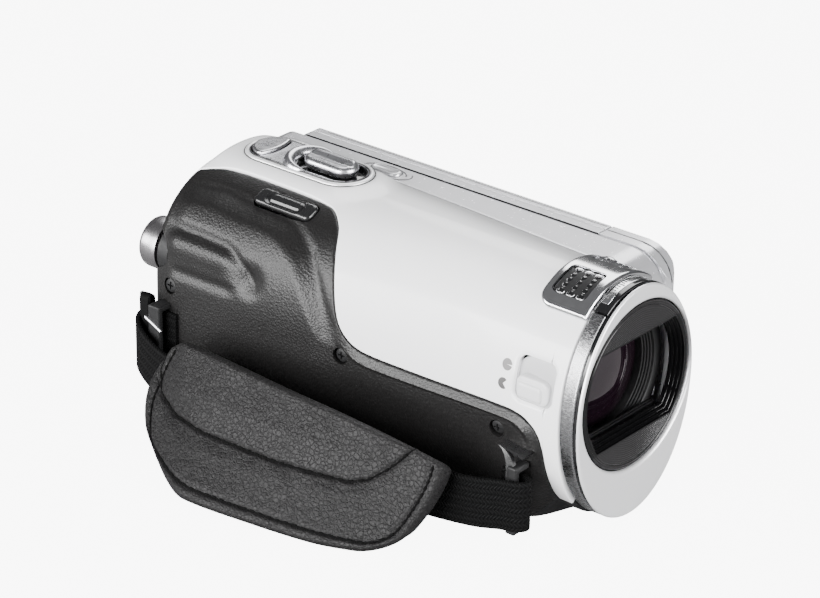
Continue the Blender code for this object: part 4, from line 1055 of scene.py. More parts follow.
def build_screws():
    """Three cross-head screws in the grip."""
    profile = ((-6.5, 0.9), (-1.8, 0.9), (-1.8, 1.6), (-0.85, 1.7), (-0.6, 1.62), (-0.42, 1.3),
               (-0.36, 0.8), (-0.34, 0.0))
    for name, y, degrees in SCREW_PLACES:
        lift = max(lift_at(y, degrees), 0.0)
        screw = make("screw_" + name, on_skin(lathe_solid(profile, "z", (0.0, 0.0), 40), y, degrees, lift),
                     "matte_black", replaces=["grip_screw_" + name])
        for half in ((0.95, 0.2), (0.2, 0.95)):
            bar = prism(rounded_rectangle((0.0, 0.0), half, 0.1, 2), "z", -1.3, 1.0)
            cut(screw, on_skin(bar, y, degrees, lift))


# ------------------------------------------------------------------ front


def oval(inset, count=192):
    turns = np.linspace(0.0, 2 * np.pi, count, endpoint=False)
    return np.column_stack((
        FACE_X + (FACE_HALF_WIDTH - inset) * np.cos(turns),
        CORE_Z + (FACE_HALF_HEIGHT - inset) * np.sin(turns),
    ))


def round_hole(radius):
    """A circle about the lens axis with its points on the rays of the oval's points."""
    points = oval(0.0)
    turns = np.arctan2(points[:, 1] - LENS_Z, points[:, 0])
    return np.column_stack((radius * np.cos(turns), LENS_Z + radius * np.sin(turns)))


def build_bezel():
    """A rim whose rounded edges shrink where it is narrow, on a black collar in a black groove."""
    outer, inner = oval(0.0), round_hole(SHIELD_RADIUS + 0.3)
    across = inner - outer
    width = np.linalg.norm(across, axis=1)

    def rim(inset, most):
        return outer + across * np.minimum(inset / width, most)[:, None]

    def hole(inset, most):
        return inner - across * np.minimum(inset / width, most)[:, None]

    layers = [(0.6, rim(0.0, 0)), (0.42, rim(0.0, 0)), (0.24, rim(0.07, 0.05)), (0.1, rim(0.2, 0.12)),
              (0.02, rim(0.4, 0.22)), (0.0, rim(0.62, 0.32)), (0.0, rim(0.8, 0.4)),
              (0.0, hole(0.85, 0.5)), (0.0, hole(0.7, 0.42)), (0.05, hole(0.5, 0.33)),
              (0.18, hole(0.28, 0.22)), (0.36, hole(0.1, 0.1)), (0.56, hole(0.0, 0)),
              (1.1, hole(0.0, 0))]
    make("bezel_ring", loop_solid(layers, "y"), "bezel_silver", replaces=["front_bezel"])
    collar = [(0.55, rim(0.5, 0.35)), (1.75, rim(0.5, 0.35)), (1.75, hole(0.2, 0.2)), (0.8, hole(0.2, 0.2))]
    make("bezel_collar", loop_solid(collar, "y"), "gloss_black")
    groove = [(1.6, oval(1.0)), (1.6, round_hole(18.4)), (4.4, round_hole(18.4)), (4.4, oval(1.0)),
              (3.2, oval(1.2))]
    make("groove_black", loop_solid(groove, "y"), "gloss_black", replaces=["groove_ring"])


def oval_surface(depths, insets, turns):
    """Points around the oval: a row for each depth, drawn in by its inset."""
    reach_x, reach_z = FACE_HALF_WIDTH - insets[:, None], FACE_HALF_HEIGHT - insets[:, None]
    x = FACE_X + reach_x * np.cos(turns)[None, :]
    z = CORE_Z + reach_z * np.sin(turns)[None, :]
    return np.stack((x, np.repeat(depths[:, None], len(turns), axis=1), z), axis=-1)


def oval_strip(y_range, count, top, bottom, radius, angles):
    """A strip around the oval with rounded long edges; top is above it and bottom inside it."""
    front, rear = y_range
    depths = graded(front, rear, count, (0.05, 0.12, 0.22, 0.34, 0.5))
    drop = edge_drop(np.minimum(depths - front, rear - depths), radius)
    turns = np.radians(np.linspace(*angles))
    outer = oval_surface(depths, drop - top, turns)
    return grid_solid(outer, oval_surface(depths, np.full(len(depths), bottom), turns))


def build_front_ring():
    """The wrinkled metal ring, open at the top where the microphone saddle sits."""
    solid = oval_strip((1.75, 5.1), 10, 0.0, 0.7, 0.3, (120.0, 420.0, 200))
    make("wrinkled_ring", solid, "ring_metal", replaces=["front_ring"])


def build_shield():
    """The round lens shield with its stepped rectangular window."""
    profile = ((3.4, 18.1), (1.3, 18.1), (1.3, 19.5), (0.95, 19.5), (0.75, 19.42), (0.64, 19.28),
               (0.6, 19.1), (0.6, 18.6), (0.68, 18.45), (0.68, 18.25), (0.6, 18.1), (0.6, 0.0))
    solid = lathe_solid(profile + ((3.4, 0.0),), "y", (0.0, LENS_Z), 192)
    shield = make("lens_surround", solid, "shield", replaces=["lens_shield"])

    def window(step):
        """Flat above and below, round at the sides; each step is a little smaller."""
        spare = 0.65 * (3 - step)
        half_height, radius = 9.75 + spare, 15.9 + spare
        reach = math.degrees(math.asin(half_height / radius))
        right = arc((0.0, LENS_Z), radius, -reach, reach, 24)
        left = arc((0.0, LENS_Z), radius, 180.0 - reach, 180.0 + reach, 24)
        return np.concatenate((right, left))

    layers, front = [], -2.0
    for step, back in enumerate((1.3, 2.0, 2.7, 5.0)):
        layers += [(front, window(step)), (back, window(step))]
        front = back
    cut(shield, stack_solid(layers, "y"), smooth=25.0)
    bright = []
    middle, inward = np.array((0.0, LENS_Z)), 0.998
    for step, depth in enumerate((1.3, 2.0, 2.7)):
        edge = middle + inward * (window(step) - middle)
        bright.append(tube_solid(set_along(edge, "y", depth - 0.04), 0.05, 6, closed=True))
    make("window_lines", join(bright), "gloss_black")


def build_lens():
    """The domed front lens, the barrel with its steps, and the shutter leaves."""
    dome = [(6.9 + 0.0205 * r**2, r) for r in np.linspace(12.5, 0.0, 22)]
    profile = [(11.1, 0.0), (11.1, 12.7), (10.6, 12.7)] + dome
    make("front_element", lathe_solid(profile, "y", (0.0, LENS_Z), 128), "lens_glass",
         replaces=["front_lens"])
    steps = ((6.3, 17.2), (7.6, 17.2), (7.6, 15.4), (62.0, 15.4), (62.0, 13.9), (11.4, 13.9),
             (11.4, 13.0), (8.6, 13.0), (8.5, 13.4), (8.1, 13.4), (8.0, 13.8), (7.6, 13.8),
             (7.5, 14.2), (7.1, 14.2), (7.0, 14.6), (6.5, 14.7), (6.3, 15.0))
    make("lens_tube", lathe_solid(steps, "y", (0.0, LENS_Z), 128, closed=True),
         "matte_black", replaces=["lens_barrel"])
    for leaf in ("upper_front", "upper_rear", "lower_front", "lower_rear"):
        bevelled_copy("shutter_" + leaf, "matte_black", leaf + "_leaf", 0.12)


# ------------------------------------------------------------------ microphone saddle


def saddle_point(y, degrees, lift):
    """A point above the barrel, following the ring's oval in front and the skin behind it."""
    y, degrees = np.asarray(y, float), np.asarray(degrees, float)
    radius = skin_radius(np.maximum(y, BODY_FRONT), np.radians(degrees)) + lift
    return polar(y, degrees, radius)


def rounded_patch(y_range, a_range, radii, counts, edge):
    """A grid of (y, angle, distance to the edge) over a patch with rounded corners.

    radii are for its corners at (front, first angle), (front, last), (rear, last), (rear, first).
    """
    fine = [edge * f for f in (0.08, 0.2, 0.38, 0.62, 1.0)]
    across = graded(y_range[0], y_range[1], counts[0], fine)
    width = (a_range[1] - a_range[0]) * MM_PER_DEGREE
    around = graded(0.0, width, counts[1], fine)
    low, high = np.zeros(len(across)), np.full(len(across), width)
    for i, y in enumerate(across):
        for near, first, last in ((y - y_range[0], 0, 1), (y_range[1] - y, 3, 2)):
            if near < radii[first]:
                low[i] = max(low[i], edge_drop(near, radii[first]))
            if near < radii[last]:
                high[i] = min(high[i], width - edge_drop(near, radii[last]))
    share = around / width
    arcs = low[:, None] + (high - low)[:, None] * share[None, :]
    ys = np.repeat(across[:, None], len(around), axis=1)
    outline = np.concatenate((
        np.column_stack((ys[0, :], arcs[0, :])), np.column_stack((ys[:, -1], arcs[:, -1])),
        np.column_stack((ys[-1, ::-1], arcs[-1, ::-1])), np.column_stack((ys[::-1, 0], arcs[::-1, 0])),
    ))
    spots = np.column_stack((ys.ravel(), arcs.ravel()))
    distance = distance_to_line(spots, outline.tolist()).reshape(ys.shape)
    return ys, a_range[0] + arcs / MM_PER_DEGREE, distance


def build_saddle():
    ys, angles, inside = rounded_patch((5.3, 18.6), (64.5, 119.4), (0.3, 0.3, 3.6, 2.6), (40, 64), 0.6)
    top = saddle_point(ys, angles, 1.15 - edge_drop(inside, 0.75))
    under = saddle_point(ys, angles, 0.15)
    saddle = make("mic_saddle", grid_solid(top, under), "chrome", replaces=["mic_cover"])
    sides = (("left", 93.0, 112.0, 30), ("right", 68.0, 82.0, 24))
    windows = []
    for _, first, last, _ in sides:
        y, a, _ = rounded_patch((7.6, 16.8), (first, last), (1.4,) * 4, (16, 20), 0.3)
        windows.append(grid_solid(saddle_point(y, a, 2.5), saddle_point(y, a, -0.5)))
    cut(saddle, join(windows))
    for side, first, last, count in sides:
        y, a, inside = rounded_patch((7.7, 16.7), (first + 0.2, last - 0.2), (1.3,) * 4, (24, count), 0.25)
        plate = grid_solid(saddle_point(y, a, 0.55 - edge_drop(inside, 0.25)), saddle_point(y, a, 0.2))
        make("mic_window_" + side, plate, "matte_black", replaces=["mic_grille_" + side])
    build_mic_beads()


def build_mic_beads():
    """Three rows of oblong dimples in the left window, and slanting bars in the right one."""
    beads, rims = [], []
    turn = np.linspace(0.0, 2 * np.pi, 24, endpoint=False)
    for row in range(3):
        y = 9.5 + 2.65 * row
        outline = stadium((0.0, 102.5), (0.85, 8.6), 12)
        path = saddle_point(y + 1.1 * outline[:, 0], outline[:, 1], 0.56)
        rims.append(tube_solid(path, 0.1, 6, closed=True))
        for k in range(5):
            middle = 95.6 + 3.45 * k
            domes = [saddle_point(y + 0.62 * s * np.cos(turn), middle + 1.45 * s * np.sin(turn), h)
                     for s, h in ((1.0, 0.4), (1.0, 0.55), (0.8, 0.67), (0.45, 0.72), (0.05, 0.73))]
            beads.append(rings_solid(domes))
    make("mic_bead_rims", join(rims), "steel")
    make("mic_beads", join(beads), "gloss_black")
    bars = []
    for k in range(5):
        start = 8.9 + 1.5 * k
        t = np.linspace(0.0, 1.0, 14)
        path = saddle_point(start + 1.3 * t, 70.0 + 9.6 * t, 0.62)
        bars.append(tube_solid(path, 0.32, 8))
    make("mic_bars", join(bars), "chrome")


def build_mic_band():
    """The black band in front of the saddle, with a silver strip that carries plain ticks."""
    band = oval_strip((1.4, 5.1), 8, 0.2, 0.7, 0.4, (61.0, 119.0, 70))
    make("saddle_band", band, "gloss_black", replaces=["mic_band"])
    make("band_strip", oval_strip((2.75, 4.65), 8, 0.3, 0.0, 0.15, (74.0, 113.0, 50)), "chrome")
    ticks = []
    for k in range(15):
        turn = math.radians(78.0 + 2.2 * k)
        depth = np.linspace(3.1 if k % 4 == 0 else 3.6, 4.4, 6)
        path = oval_surface(depth, np.full(len(depth), -0.3), np.array([turn]))[:, 0]
        ticks.append(tube_solid(path, 0.14, 6))
    make("band_ticks", join(ticks), "gloss_black")


# ------------------------------------------------------------------ lens switch


def skin_beside(y, z, lift=0.0):
    """Points of the left surface level with these heights."""
    y, z = np.broadcast_arrays(np.asarray(y, float), np.asarray(z, float))
    low, high = np.full(z.shape, 120.0), np.full(z.shape, 215.0)
    return skin(y, bisect(low, high, lambda degrees: skin(y, degrees)[..., 2] > z), lift)


def build_switch():
    """The lens switch: a pocket that is deepest at its rear, and a knob with a stepped cap."""

    def outline(inset, centre=SWITCH, half=SWITCH_HALF, radius=2.6):
        return rounded_rectangle(centre, (half[0] - inset, half[1] - inset), max(radius - inset, 0.2), 8)

    def floor(inset, extra=0.0):
        y, z = outline(inset, (SWITCH[0] - 0.1, SWITCH[1])).T
        return skin_beside(y, z, -0.5 - 0.8 * ramp(9.0, 16.5, y) - extra)

    rings = [floor(-0.3, 1.0), floor(-0.3, 0.1)]
    rings += [floor(inset) for inset in (0.22, 0.8, 1.5, 2.3, 3.2, 4.2)]
    # The pocket is drawn in a greyed white: painted shade in the recess.
    make("switch_pocket", rings_solid(rings), "pocket_white_shaded", replaces=["switch_tray"])
    middle, half = (12.95, 34.4), (4.3, 2.9)

    def knob(inset, shift=0.0):
        return outline(inset, (middle[0] + 0.5 * shift, middle[1] - 0.3 * shift), half, 2.0)

    layers = [(-19.2, knob(0.0)), (-20.9, knob(0.0)), (-21.1, knob(0.08)), (-21.24, knob(0.25)),
              (-21.3, knob(0.5)), (-21.32, knob(0.8, 0.8)), (-21.4, knob(1.0, 1.0)),
              (-21.6, knob(1.12, 1.0)), (-21.76, knob(1.3, 1.0)), (-21.86, knob(1.55, 1.0)),
              (-21.9, knob(1.9, 1.0)), (-21.9, knob(2.1, 1.0))]
    # The knob is drawn in a greyed white: painted shade.
    make("switch_knob", stack_solid(layers, "x"), "knob_white_shaded", "lens_slider", ["lens_switch"])
    build_switch_icons()


def build_switch_icons():
    """Two small discs beside the switch: one nearly closed, one open."""
    icons = (("icon_nearly_closed", 20.5, 153.6, 14.0), ("icon_open", 20.9, 165.2, 95.0))
    for look, y, degrees, opening in icons:
        turns = np.radians(np.linspace(180.0 + opening / 2, 540.0 - opening / 2, 40))[None, :]
        reach = np.linspace(0.05, 1.3, 8)[:, None]
        disc_y = y + reach * np.cos(turns)
        disc_a = degrees + reach * np.sin(turns) / MM_PER_DEGREE_SWITCH
        solid = grid_solid(skin(disc_y, disc_a, 0.02), skin(disc_y, disc_a, -0.1))
        make("switch_icon_%d" % round(opening), solid, look)


# ------------------------------------------------------------------ control island


def build_island():
    """The island: rim, plate, the black recess of the lever with its floor, and the collar."""

    def outline(inset):
        return stadium(*shrink(ISLAND, ISLAND_HALF, inset))

    rim = layered(outline, (
        (54.6, 0.25), (55.9, 0.25), (56.1, 0.32), (56.28, 0.5), (56.36, 0.75), (56.36, 1.0),
        (56.28, 1.2), (56.1, 1.32), (54.6, 1.36),
    ))
    make("island_rim", loop_solid(rim, "z"), "bezel_silver", replaces=["control_plate"])

    # Thin dark lines along the rim's outer and inner edges: painted shade in the gaps beside it.
    edges = []
    for inset, height in ((0.1, 55.86), (1.46, 56.28)):
        edges.append(tube_solid(set_along(outline(inset), "z", height), 0.14, 6, closed=True))
    make("island_outlines", join(edges), "gap_shade_line")

    def inner(inset):
        return outline(1.58 + inset)

    plate = make("island_plate", rounded_solid(inner, "z", 54.4, 56.45, 0.35), "satin")
    recess = prism(stadium(LEVER, LEVER_RECESS_HALF), "z", 50.0, 60.0)
    moon = prism(half_moon(0.0), "z", 50.0, 60.0)
    cut(plate, join([recess, moon]), smooth=30.0)

    def recess_outline(inset):
        return stadium(*shrink(LEVER, LEVER_RECESS_HALF, inset))

    lining = layered(recess_outline, ((54.0, 0.02), (56.3, 0.02), (56.3, 0.3), (54.0, 0.3)))
    make("recess_lining", loop_solid(lining, "z"), "gloss_black")
    levels = layered(recess_outline, ((54.2, 0.31), (55.45, 0.31), (55.6, 0.6)))
    floor = make("recess_floor", stack_solid(levels, "z"), "gloss_black", replaces=["lever_base"])
    slot = rounded_rectangle(LEVER, (1.6, 5.0), 0.8, 4)
    cut(floor, prism(slot, "z", 50.0, 60.0))
    build_collar()


def half_moon(inset):
    """The half-moon of the mode button: a round back and a front edge that curves with the lever."""
    radius = ISLAND_HALF[0] - 1.7 - inset
    back = arc((ISLAND[0], ISLAND[1] + ISLAND_HALF[1] - ISLAND_HALF[0]), radius, 8.0, 172.0, 40)
    front = arc((ISLAND[0], 120.0), 13.4 - inset, 246.0, 294.0, 20)
    return np.concatenate((back, front))


def build_collar():
    """The satin crescent that wraps the rear end of the lever's recess."""
    centre_y, turns = 94.9, np.radians(np.linspace(-14.0, 194.0, 70))
    rise = np.maximum(np.sin(turns), 0.0)
    inner_radius = 5.25
    width = 0.5 + 3.3 * rise**0.8
    peak = 56.5 + 1.75 * rise**0.7
    rings = []
    share = np.linspace(0.0, 1.0, 15)
    profile = np.sin(np.pi * share) ** 0.55
    for turn, wide, high in zip(turns, width, peak):
        radius = inner_radius + wide * share
        x = ISLAND[0] + radius * math.cos(turn)
        y = centre_y + radius * math.sin(turn)
        z = 56.0 + (high - 56.0) * profile
        ring = np.column_stack((x, y, z))
        under = ring[::-1].copy()[1:-1]
        under[:, 2] = 55.6
        rings.append(np.concatenate((ring, under)))
    make("lever_collar", rings_solid(rings), "satin", smooth=60.0)


def build_lever():
    """The zoom lever: a capsule with a raised ridge along its far side and a scooped near side."""
    half = (3.6, 7.2)
    heights = ((56.0, 0.55), (56.6, 0.2), (57.2, 0.02), (57.5, 0.0), (57.8, 0.05))
    rings = [set_along(stadium(*shrink(LEVER, half, inset), 24), "z", z) for z, inset in heights]
    for inset in (0.18, 0.38, 0.62, 0.9, 1.2, 1.5, 1.8, 2.1, 2.4, 2.7, 3.0, 3.3):
        outline = stadium(*shrink(LEVER, half, inset), 24)
        across = outline[:, 0] - LEVER[0]
        dome = 58.75 - 0.95 * (1.0 - min(inset / 1.2, 1.0)) ** 2
        ridge = 0.45 * bell(across - 1.35, 1.5)
        scoop = -0.35 * bell(across + 0.25, 0.75) - 0.25 * bell(across + 1.9, 1.3)
        ring = set_along(outline, "z", dome)
        ring[:, 2] += (ridge + scoop) * ramp(0.3, 1.3, inset)
        rings.append(ring)
    stem = prism(rounded_rectangle(LEVER, (1.2, 2.0), 0.2, 2), "z", 53.4, 56.5)
    make("zoom_paddle", join([rings_solid(rings), stem]), "satin", "zoom_rocker",
         ["zoom_lever"], smooth=55.0)


def build_buttons():
    moon = rounded_solid(lambda inset: half_moon(0.35 + inset), "z", 54.6, 57.25, 0.55, 5, False)
    button = make("mode_moon", moon, "mode_satin", "mode_key", ["mode_button"])
    grooves = []
    for k in range(3):
        line = rounded_rectangle((ISLAND[0] - 1.6 + 1.6 * k, 110.4), (0.14, 1.3), 0.12, 3)
        grooves.append(prism(line, "z", 57.1, 58.0))
    cut(button, join(grooves))

    def deck_oval(inset):
        return stadium(*shrink(PHOTO, (1.9, 4.3), inset))

    layers = layered(deck_oval, (
        (50.6, 0.0), (53.2, 0.0), (53.45, 0.1), (53.6, 0.3), (53.68, 0.6), (53.66, 0.9),
        (53.5, 1.1), (53.46, 1.3),
    ))
    make("deck_button", stack_solid(layers, "z"), "silver_paint", "photo_key", ["photo_button"])
    build_deck_swirl()

    profile = ((112.4, 0.0), (112.4, 3.0), (119.3, 3.0), (119.3, 6.1), (119.5, 6.2), (123.4, 6.2),
               (123.9, 6.12), (124.25, 5.9), (124.5, 5.55), (124.6, 5.1), (124.6, 4.8),
               (124.45, 4.6), (124.3, 4.0), (124.22, 2.5), (124.2, 0.0))
    make("record_cap", lathe_solid(profile, "y", RECORD, 96), "record_metal", "record_key",
         ["record_button"])
    ring = ((114.9, 3.3), (114.9, 6.45), (118.0, 6.45), (118.1, 6.3), (118.1, 3.3))
    make("record_ring", lathe_solid(ring, "y", RECORD, 96, closed=True), "matte_black",
         replaces=["record_sleeve"])
    profile = ((18.6, 0.0), (18.6, 2.6), (20.8, 2.6), (20.98, 2.5), (21.05, 2.3), (21.05, 2.0),
               (20.95, 1.7), (20.85, 1.0), (20.83, 0.0))
    make("power_cap", lathe_solid(profile, "x", POWER, 64), "silver_paint",
         "power_key", ["power_button"])


def build_deck_swirl():
    """The teardrop outline around the deck button, as a fine dark line laid on the deck: painted shade of
    an engraved groove.
    """
    turns = np.radians(np.linspace(-80.0, 300.0, 70))
    reach = 3.1 + 0.9 * np.clip(np.linspace(-0.2, 1.0, 70), 0.0, 1.0)
    x = PHOTO[0] + reach * 0.88 * np.cos(turns)
    y = PHOTO[1] + reach * 1.85 * np.sin(turns)
    keep = x < 20.4
    path = np.column_stack((x, y, np.full(len(x), DECK_Z)))[keep]
    make("deck_swirl", tube_solid(path, 0.13, 6), "gap_shade_line")


# ------------------------------------------------------------------ flap over the sockets


def build_flap():
    """The flap over the sockets, with a long groove, and the ports below it."""
    (mx, my), (hx, hy) = shrink(JACK_MIDDLE, JACK_HALF, 0.05)
    ys = graded(my - hy, my + hy, 150, (0.06, 0.15, 0.3, 0.5, 0.8))
    share = graded(-1.0, 1.0, 52, (0.02, 0.06, 0.12, 0.2, 0.3))
    corner = edge_drop(np.minimum(ys - (my - hy), my + hy - ys), 1.5)
    x = mx + (hx - corner)[:, None] * share[None, :]
    y = np.repeat(ys[:, None], len(share), axis=1)
    inside = -box_distance(x, y, (mx, my), (hx, hy), 1.5)
    lift = 0.95 - edge_drop(inside, 0.95)
    bar = box_distance(x, y, (mx + 0.25, 90.2), (0.75, 4.4), 0.74)
    lift -= 0.5 * bell(bar - 0.6, 0.8)
    top = skin_over(x, y, lift)
    under = skin_over(x, y, -1.5)
    make("socket_flap", grid_solid(top, under), "rubber", "jack_flap", ["jack_cover"], smooth=80.0)
    block = bevelled_copy("av_socket", "steel", "camera", 0.2)
    ports = []
    for y, half in ((86.3, 1.5), (90.4, 1.2), (94.0, 1.2)):
        outline = rounded_rectangle((-11.1, y), (1.5 if half > 1.3 else 1.2, half), 0.6, 4)
        ports.append(prism(outline, "z", 47.0, 50.0))
    cut(block, join(ports))


# ------------------------------------------------------------------ folding screen


def blacken_inside(inner):
    """Gives the screen frame's inward face and its pocket for the display the gloss black."""
    inner.data.materials.append(LOOKS["gloss_black"])
    inside = to_row((PANEL_X[0] + 0.35, 0.0, 0.0))[0]
    low, high = to_row((0.0, 37.0, 11.0)), to_row((0.0, 107.0, 51.0))
    for polygon in inner.data.polygons:
        deep = polygon.center.x < inside and abs(polygon.normal.x) > 0.9
        pocket = low[1] < polygon.center.y < high[1] and low[2] < polygon.center.z < high[2]
        if deep or pocket:
            polygon.material_index = 1


def build_screen():
    copies = (
        ("screen_arm", "silver_paint", "screen_arm", 0.4),
        ("screen_cover", "silver_paint", "screen_panel", 0.4),
        ("screen_frame", "silver_paint", "screen_panel", 0.3),
        ("screen_display", "screen_glass", "screen_panel", 0.15),
        ("screen_shaft", "steel", "screen_arm", 0.15),
        ("hinge_pin", "steel", "camera", 0.15),
        ("hinge_bracket", "steel", "camera", 0.25),
    )
    for copy in copies:
        piece = bevelled_copy(*copy)
        if copy[0] == "screen_frame":
            blacken_inside(piece)
    # A dark line along the panel's top edge: painted shade in the seam.
    line = [(PANEL_X[1] - 1.1, y, PANEL_Z[1]) for y in np.linspace(28.5, 111.0, 40)]
    make("screen_line", tube_solid(line, 0.09, 6), "gap_shade_line", "screen_panel")
    # A dark line along the arm's seam: painted shade.
    bend = arc((17.5, PANEL_Z[1] - 8.5), 8.5, 90.0, 180.0, 24)
    flat = np.concatenate((((27.2, PANEL_Z[1]), (20.0, PANEL_Z[1])), bend[:-2]))
    seam = set_along(flat, "x", HINGE[0] + 0.1)
    make("arm_line", tube_solid(seam, 0.13, 6), "gap_shade_line", "screen_arm")
    keys = []
    for k in range(4):
        outline = lambda inset, z=17.0 + 9.0 * k: stadium((32.6, z), (1.2 - inset, 2.6 - inset), 10)
        keys.append(rounded_solid(outline, "x", 21.2, 21.6, 0.15, 3))
    make("screen_keys", join(keys), "gunmetal", "screen_panel")


# ------------------------------------------------------------------ strap

PAD_TOP = (
    (-37.6, 23.0, 19.6), (-39.4, 42.0, 22.6), (-40.6, 62.0, 24.4), (-39.6, 83.0, 25.0),
    (-37.0, 101.5, 24.2),
)
PAD_MIDDLE = (
    (-42.5, 24.5, 10.0), (-46.2, 42.0, 12.4), (-48.6, 61.0, 13.6), (-48.4, 80.0, 13.6),
    (-44.0, 105.0, 13.0),
)
PAD_BOTTOM = (
    (-50.5, 28.2, 0.9), (-56.8, 45.0, 0.7), (-59.4, 62.0, 0.7), (-60.9, 78.5, 0.9),
    (-53.4, 95.5, 5.2),
)
PAD_LENGTH, PAD_HEIGHT, PAD_THICKNESS = 85.0, 37.0, 3.6
# The inner stitch line, as (share of the length from front to rear, share of the height down).
PAD_STITCHES = (
    (1.0, 0.10), (0.985, 0.30), (0.95, 0.48), (0.89, 0.565), (0.80, 0.575), (0.65, 0.57),
    (0.50, 0.565), (0.36, 0.54), (0.26, 0.515), (0.205, 0.44), (0.165, 0.30), (0.13, 0.12),
    (0.11, 0.0),
)
WEB_PATH = (
    (-23.9, 18.0, 9.6), (-23.8, 14.0, 9.6), (-24.3, 11.0, 9.6), (-26.0, 9.6, 9.6),
    (-27.9, 11.0, 9.6), (-29.2, 14.5, 9.6), (-32.0, 20.0, 9.6), (-34.6, 30.0, 9.7),
    (-37.0, 45.0, 9.9), (-38.2, 62.0, 10.1), (-37.8, 80.0, 10.3), (-36.2, 98.0, 10.8),
    (-35.0, 110.0, 12.0), (-33.2, 117.5, 14.5), (-30.8, 120.3, 16.5), (-28.9, 119.0, 17.5),
    (-28.2, 115.0, 18.0), (-28.2, 110.5, 18.0),
)


def pad_point(s, t, depth):
    """A point of the pad: s from front to rear, t from top to bottom, depth towards the body."""

    def row(knots):
        position = s * (len(knots) - 1)
        return np.array([along(list(enumerate(coordinate)), position) for coordinate in zip(*knots)])

    top, middle, bottom = row(PAD_TOP), row(PAD_MIDDLE), row(PAD_BOTTOM)
    point = (1 - t) * (1 - 2 * t) * top + 4 * t * (1 - t) * middle + t * (2 * t - 1) * bottom
    return point + np.array((0.87, 0.0, -0.5 * (1 - t))) * depth


def build_pad():
    """The leather hand pad: a pillow above the inner seam, a lower field, and a rounded edge."""
    length, height = PAD_LENGTH, PAD_HEIGHT
    edge_steps = (0.25, 0.6, 1.1, 1.7)
    s_values = graded(0.0, 1.0, 130, [step / length for step in edge_steps])
    t_values = graded(0.0, 1.0, 74, [step / height for step in edge_steps])
    run = s_values * length
    lower = (edge_drop(run, 9.0) + edge_drop(length - run, 6.0)) / height
    upper = (edge_drop(run, 2.5) + edge_drop(length - run, 5.0)) / height
    shares = upper[:, None] + (1.0 - upper - lower)[:, None] * t_values[None, :]
    base, back = (
        np.array([[pad_point(s, t, depth) for t in row] for s, row in zip(s_values, shares)])
        for depth in (0.0, PAD_THICKNESS)
    )
    s, t = np.meshgrid(s_values, t_values, indexing="ij")[0], shares
    run, drop = s * length, t * height
    rows = [np.column_stack((run[:, k], drop[:, k])) for k in (0, -1)]
    columns = [np.column_stack((run[k], drop[k])) for k in (0, -1)]
    outline = np.concatenate((rows[0], columns[1], rows[1][::-1], columns[0][::-1]))
    spots = np.column_stack((run.ravel(), drop.ravel()))
    edge = distance_to_line(spots, outline.tolist(), 0.3).reshape(s.shape)
    sewn = np.concatenate((columns[0], rows[1], columns[1][::-1]))
    border = distance_to_line(spots, sewn.tolist(), 0.3).reshape(s.shape)
    inner_line = [(u * length, v * height) for u, v in PAD_STITCHES]
    to_inner = distance_to_line(spots, inner_line, 0.3).reshape(s.shape)
    inner_height = follow([(u, v) for u, v in sorted(PAD_STITCHES)], s) * height
    pillow = (drop < inner_height) & (s > 0.11)

    normal = normals_of(base)
    lift = -edge_drop(edge, 1.4) + 0.5
    lift -= 0.6 * bell(border - 2.7, 0.8)
    lift -= 0.7 * bell(to_inner, 0.9)
    lift += np.where(pillow, 1.3 * ramp(0.3, 9.0, to_inner), 0.35 * ramp(0.3, 5.0, to_inner))
    lift += 0.25 * np.sin(run / 3.1 + 0.6 * np.sin(drop / 4.0)) * bell(drop - 2.0, 6.0)
    lift += 0.12 * np.sin(run / 1.9 + drop / 2.3) * bell(to_inner, 5.0)
    outer = base + normal * lift[..., None]
    back = back - normal * (-edge_drop(edge, 1.2))[..., None]
    pad = make("hand_pad", grid_solid(outer, back), "leather", replaces=["strap_pad"], smooth=60.0)
    build_stitches(outer, s, t, length, height)


def normals_of(grid):
    """Outward directions of a grid of points, away from the camera body."""
    du, dv = np.gradient(grid, axis=0), np.gradient(grid, axis=1)
    normal = np.cross(du, dv)
    normal /= np.linalg.norm(normal, axis=-1, keepdims=True)
    return np.where(normal[..., :1] > 0, -normal, normal)


def build_stitches(outer, s, t, length, height):
    """Short thread stitches, sunk in the channels of both seam lines, over a continuous dark line along
    each channel that is painted shade.
    """
    tree = plane_tree(list(zip(s.ravel() * length, t.ravel() * height)))
    places = outer.reshape(-1, 3)

    def surface(u, v):
        """The average of the nearest points of the pad's face."""
        near = tree.find_n((u * length, v * height, 0.0), 4)
        weights = np.array([1.0 / (distance + 0.05) for _, _, distance in near])
        points = np.array([places[index] for _, index, _ in near])
        return (points * weights[:, None]).sum(axis=0) / weights.sum()

    radius, inset = 6.5, 2.7
    corners = [(inset, 2.0), (inset, height - inset - radius)]
    corners += arc((inset + radius, height - inset - radius), radius, 180.0, 90.0, 8)[1:].tolist()
    corners += arc((length - inset - 4.0, height - inset - 4.0), 4.0, 90.0, 0.0, 6).tolist()
    corners += [(length - inset, 3.0)]
    outer_line = [(a / length, b / height) for a, b in corners]
    stitches, channel_shade_lines = [], []
    for line in (outer_line, PAD_STITCHES):
        points = [surface(u, v) for u, v in spaced(line, length, height, 2.6)]
        fine = [surface(u, v) for u, v in spaced(line, length, height, 0.9)]
        # A continuous dark line along the channel's bottom: painted shade.
        channel_shade_lines.append(tube_solid(fine, 0.2, 6))
        for a, b in zip(points, points[1:]):
            stitches.append(capsule(a + (b - a) * 0.18, a + (b - a) * 0.82, 0.36))
    make("pad_stitching", join(stitches), "thread")
    make("pad_channel_shade", join(channel_shade_lines), "thread")


def spaced(line, length, height, gap):
    """Evenly spaced (s, t) positions along a line of corners on the pad."""
    corners = np.array(line, float) * (length, height)
    steps = np.linalg.norm(np.diff(corners, axis=0), axis=1)
    total = np.concatenate(([0.0], np.cumsum(steps)))
    where = np.linspace(0.0, total[-1], max(int(total[-1] / gap), 2))
    run = np.interp(where, total, corners[:, 0]) / length
    drop = np.interp(where, total, corners[:, 1]) / height
    return list(zip(run, drop))


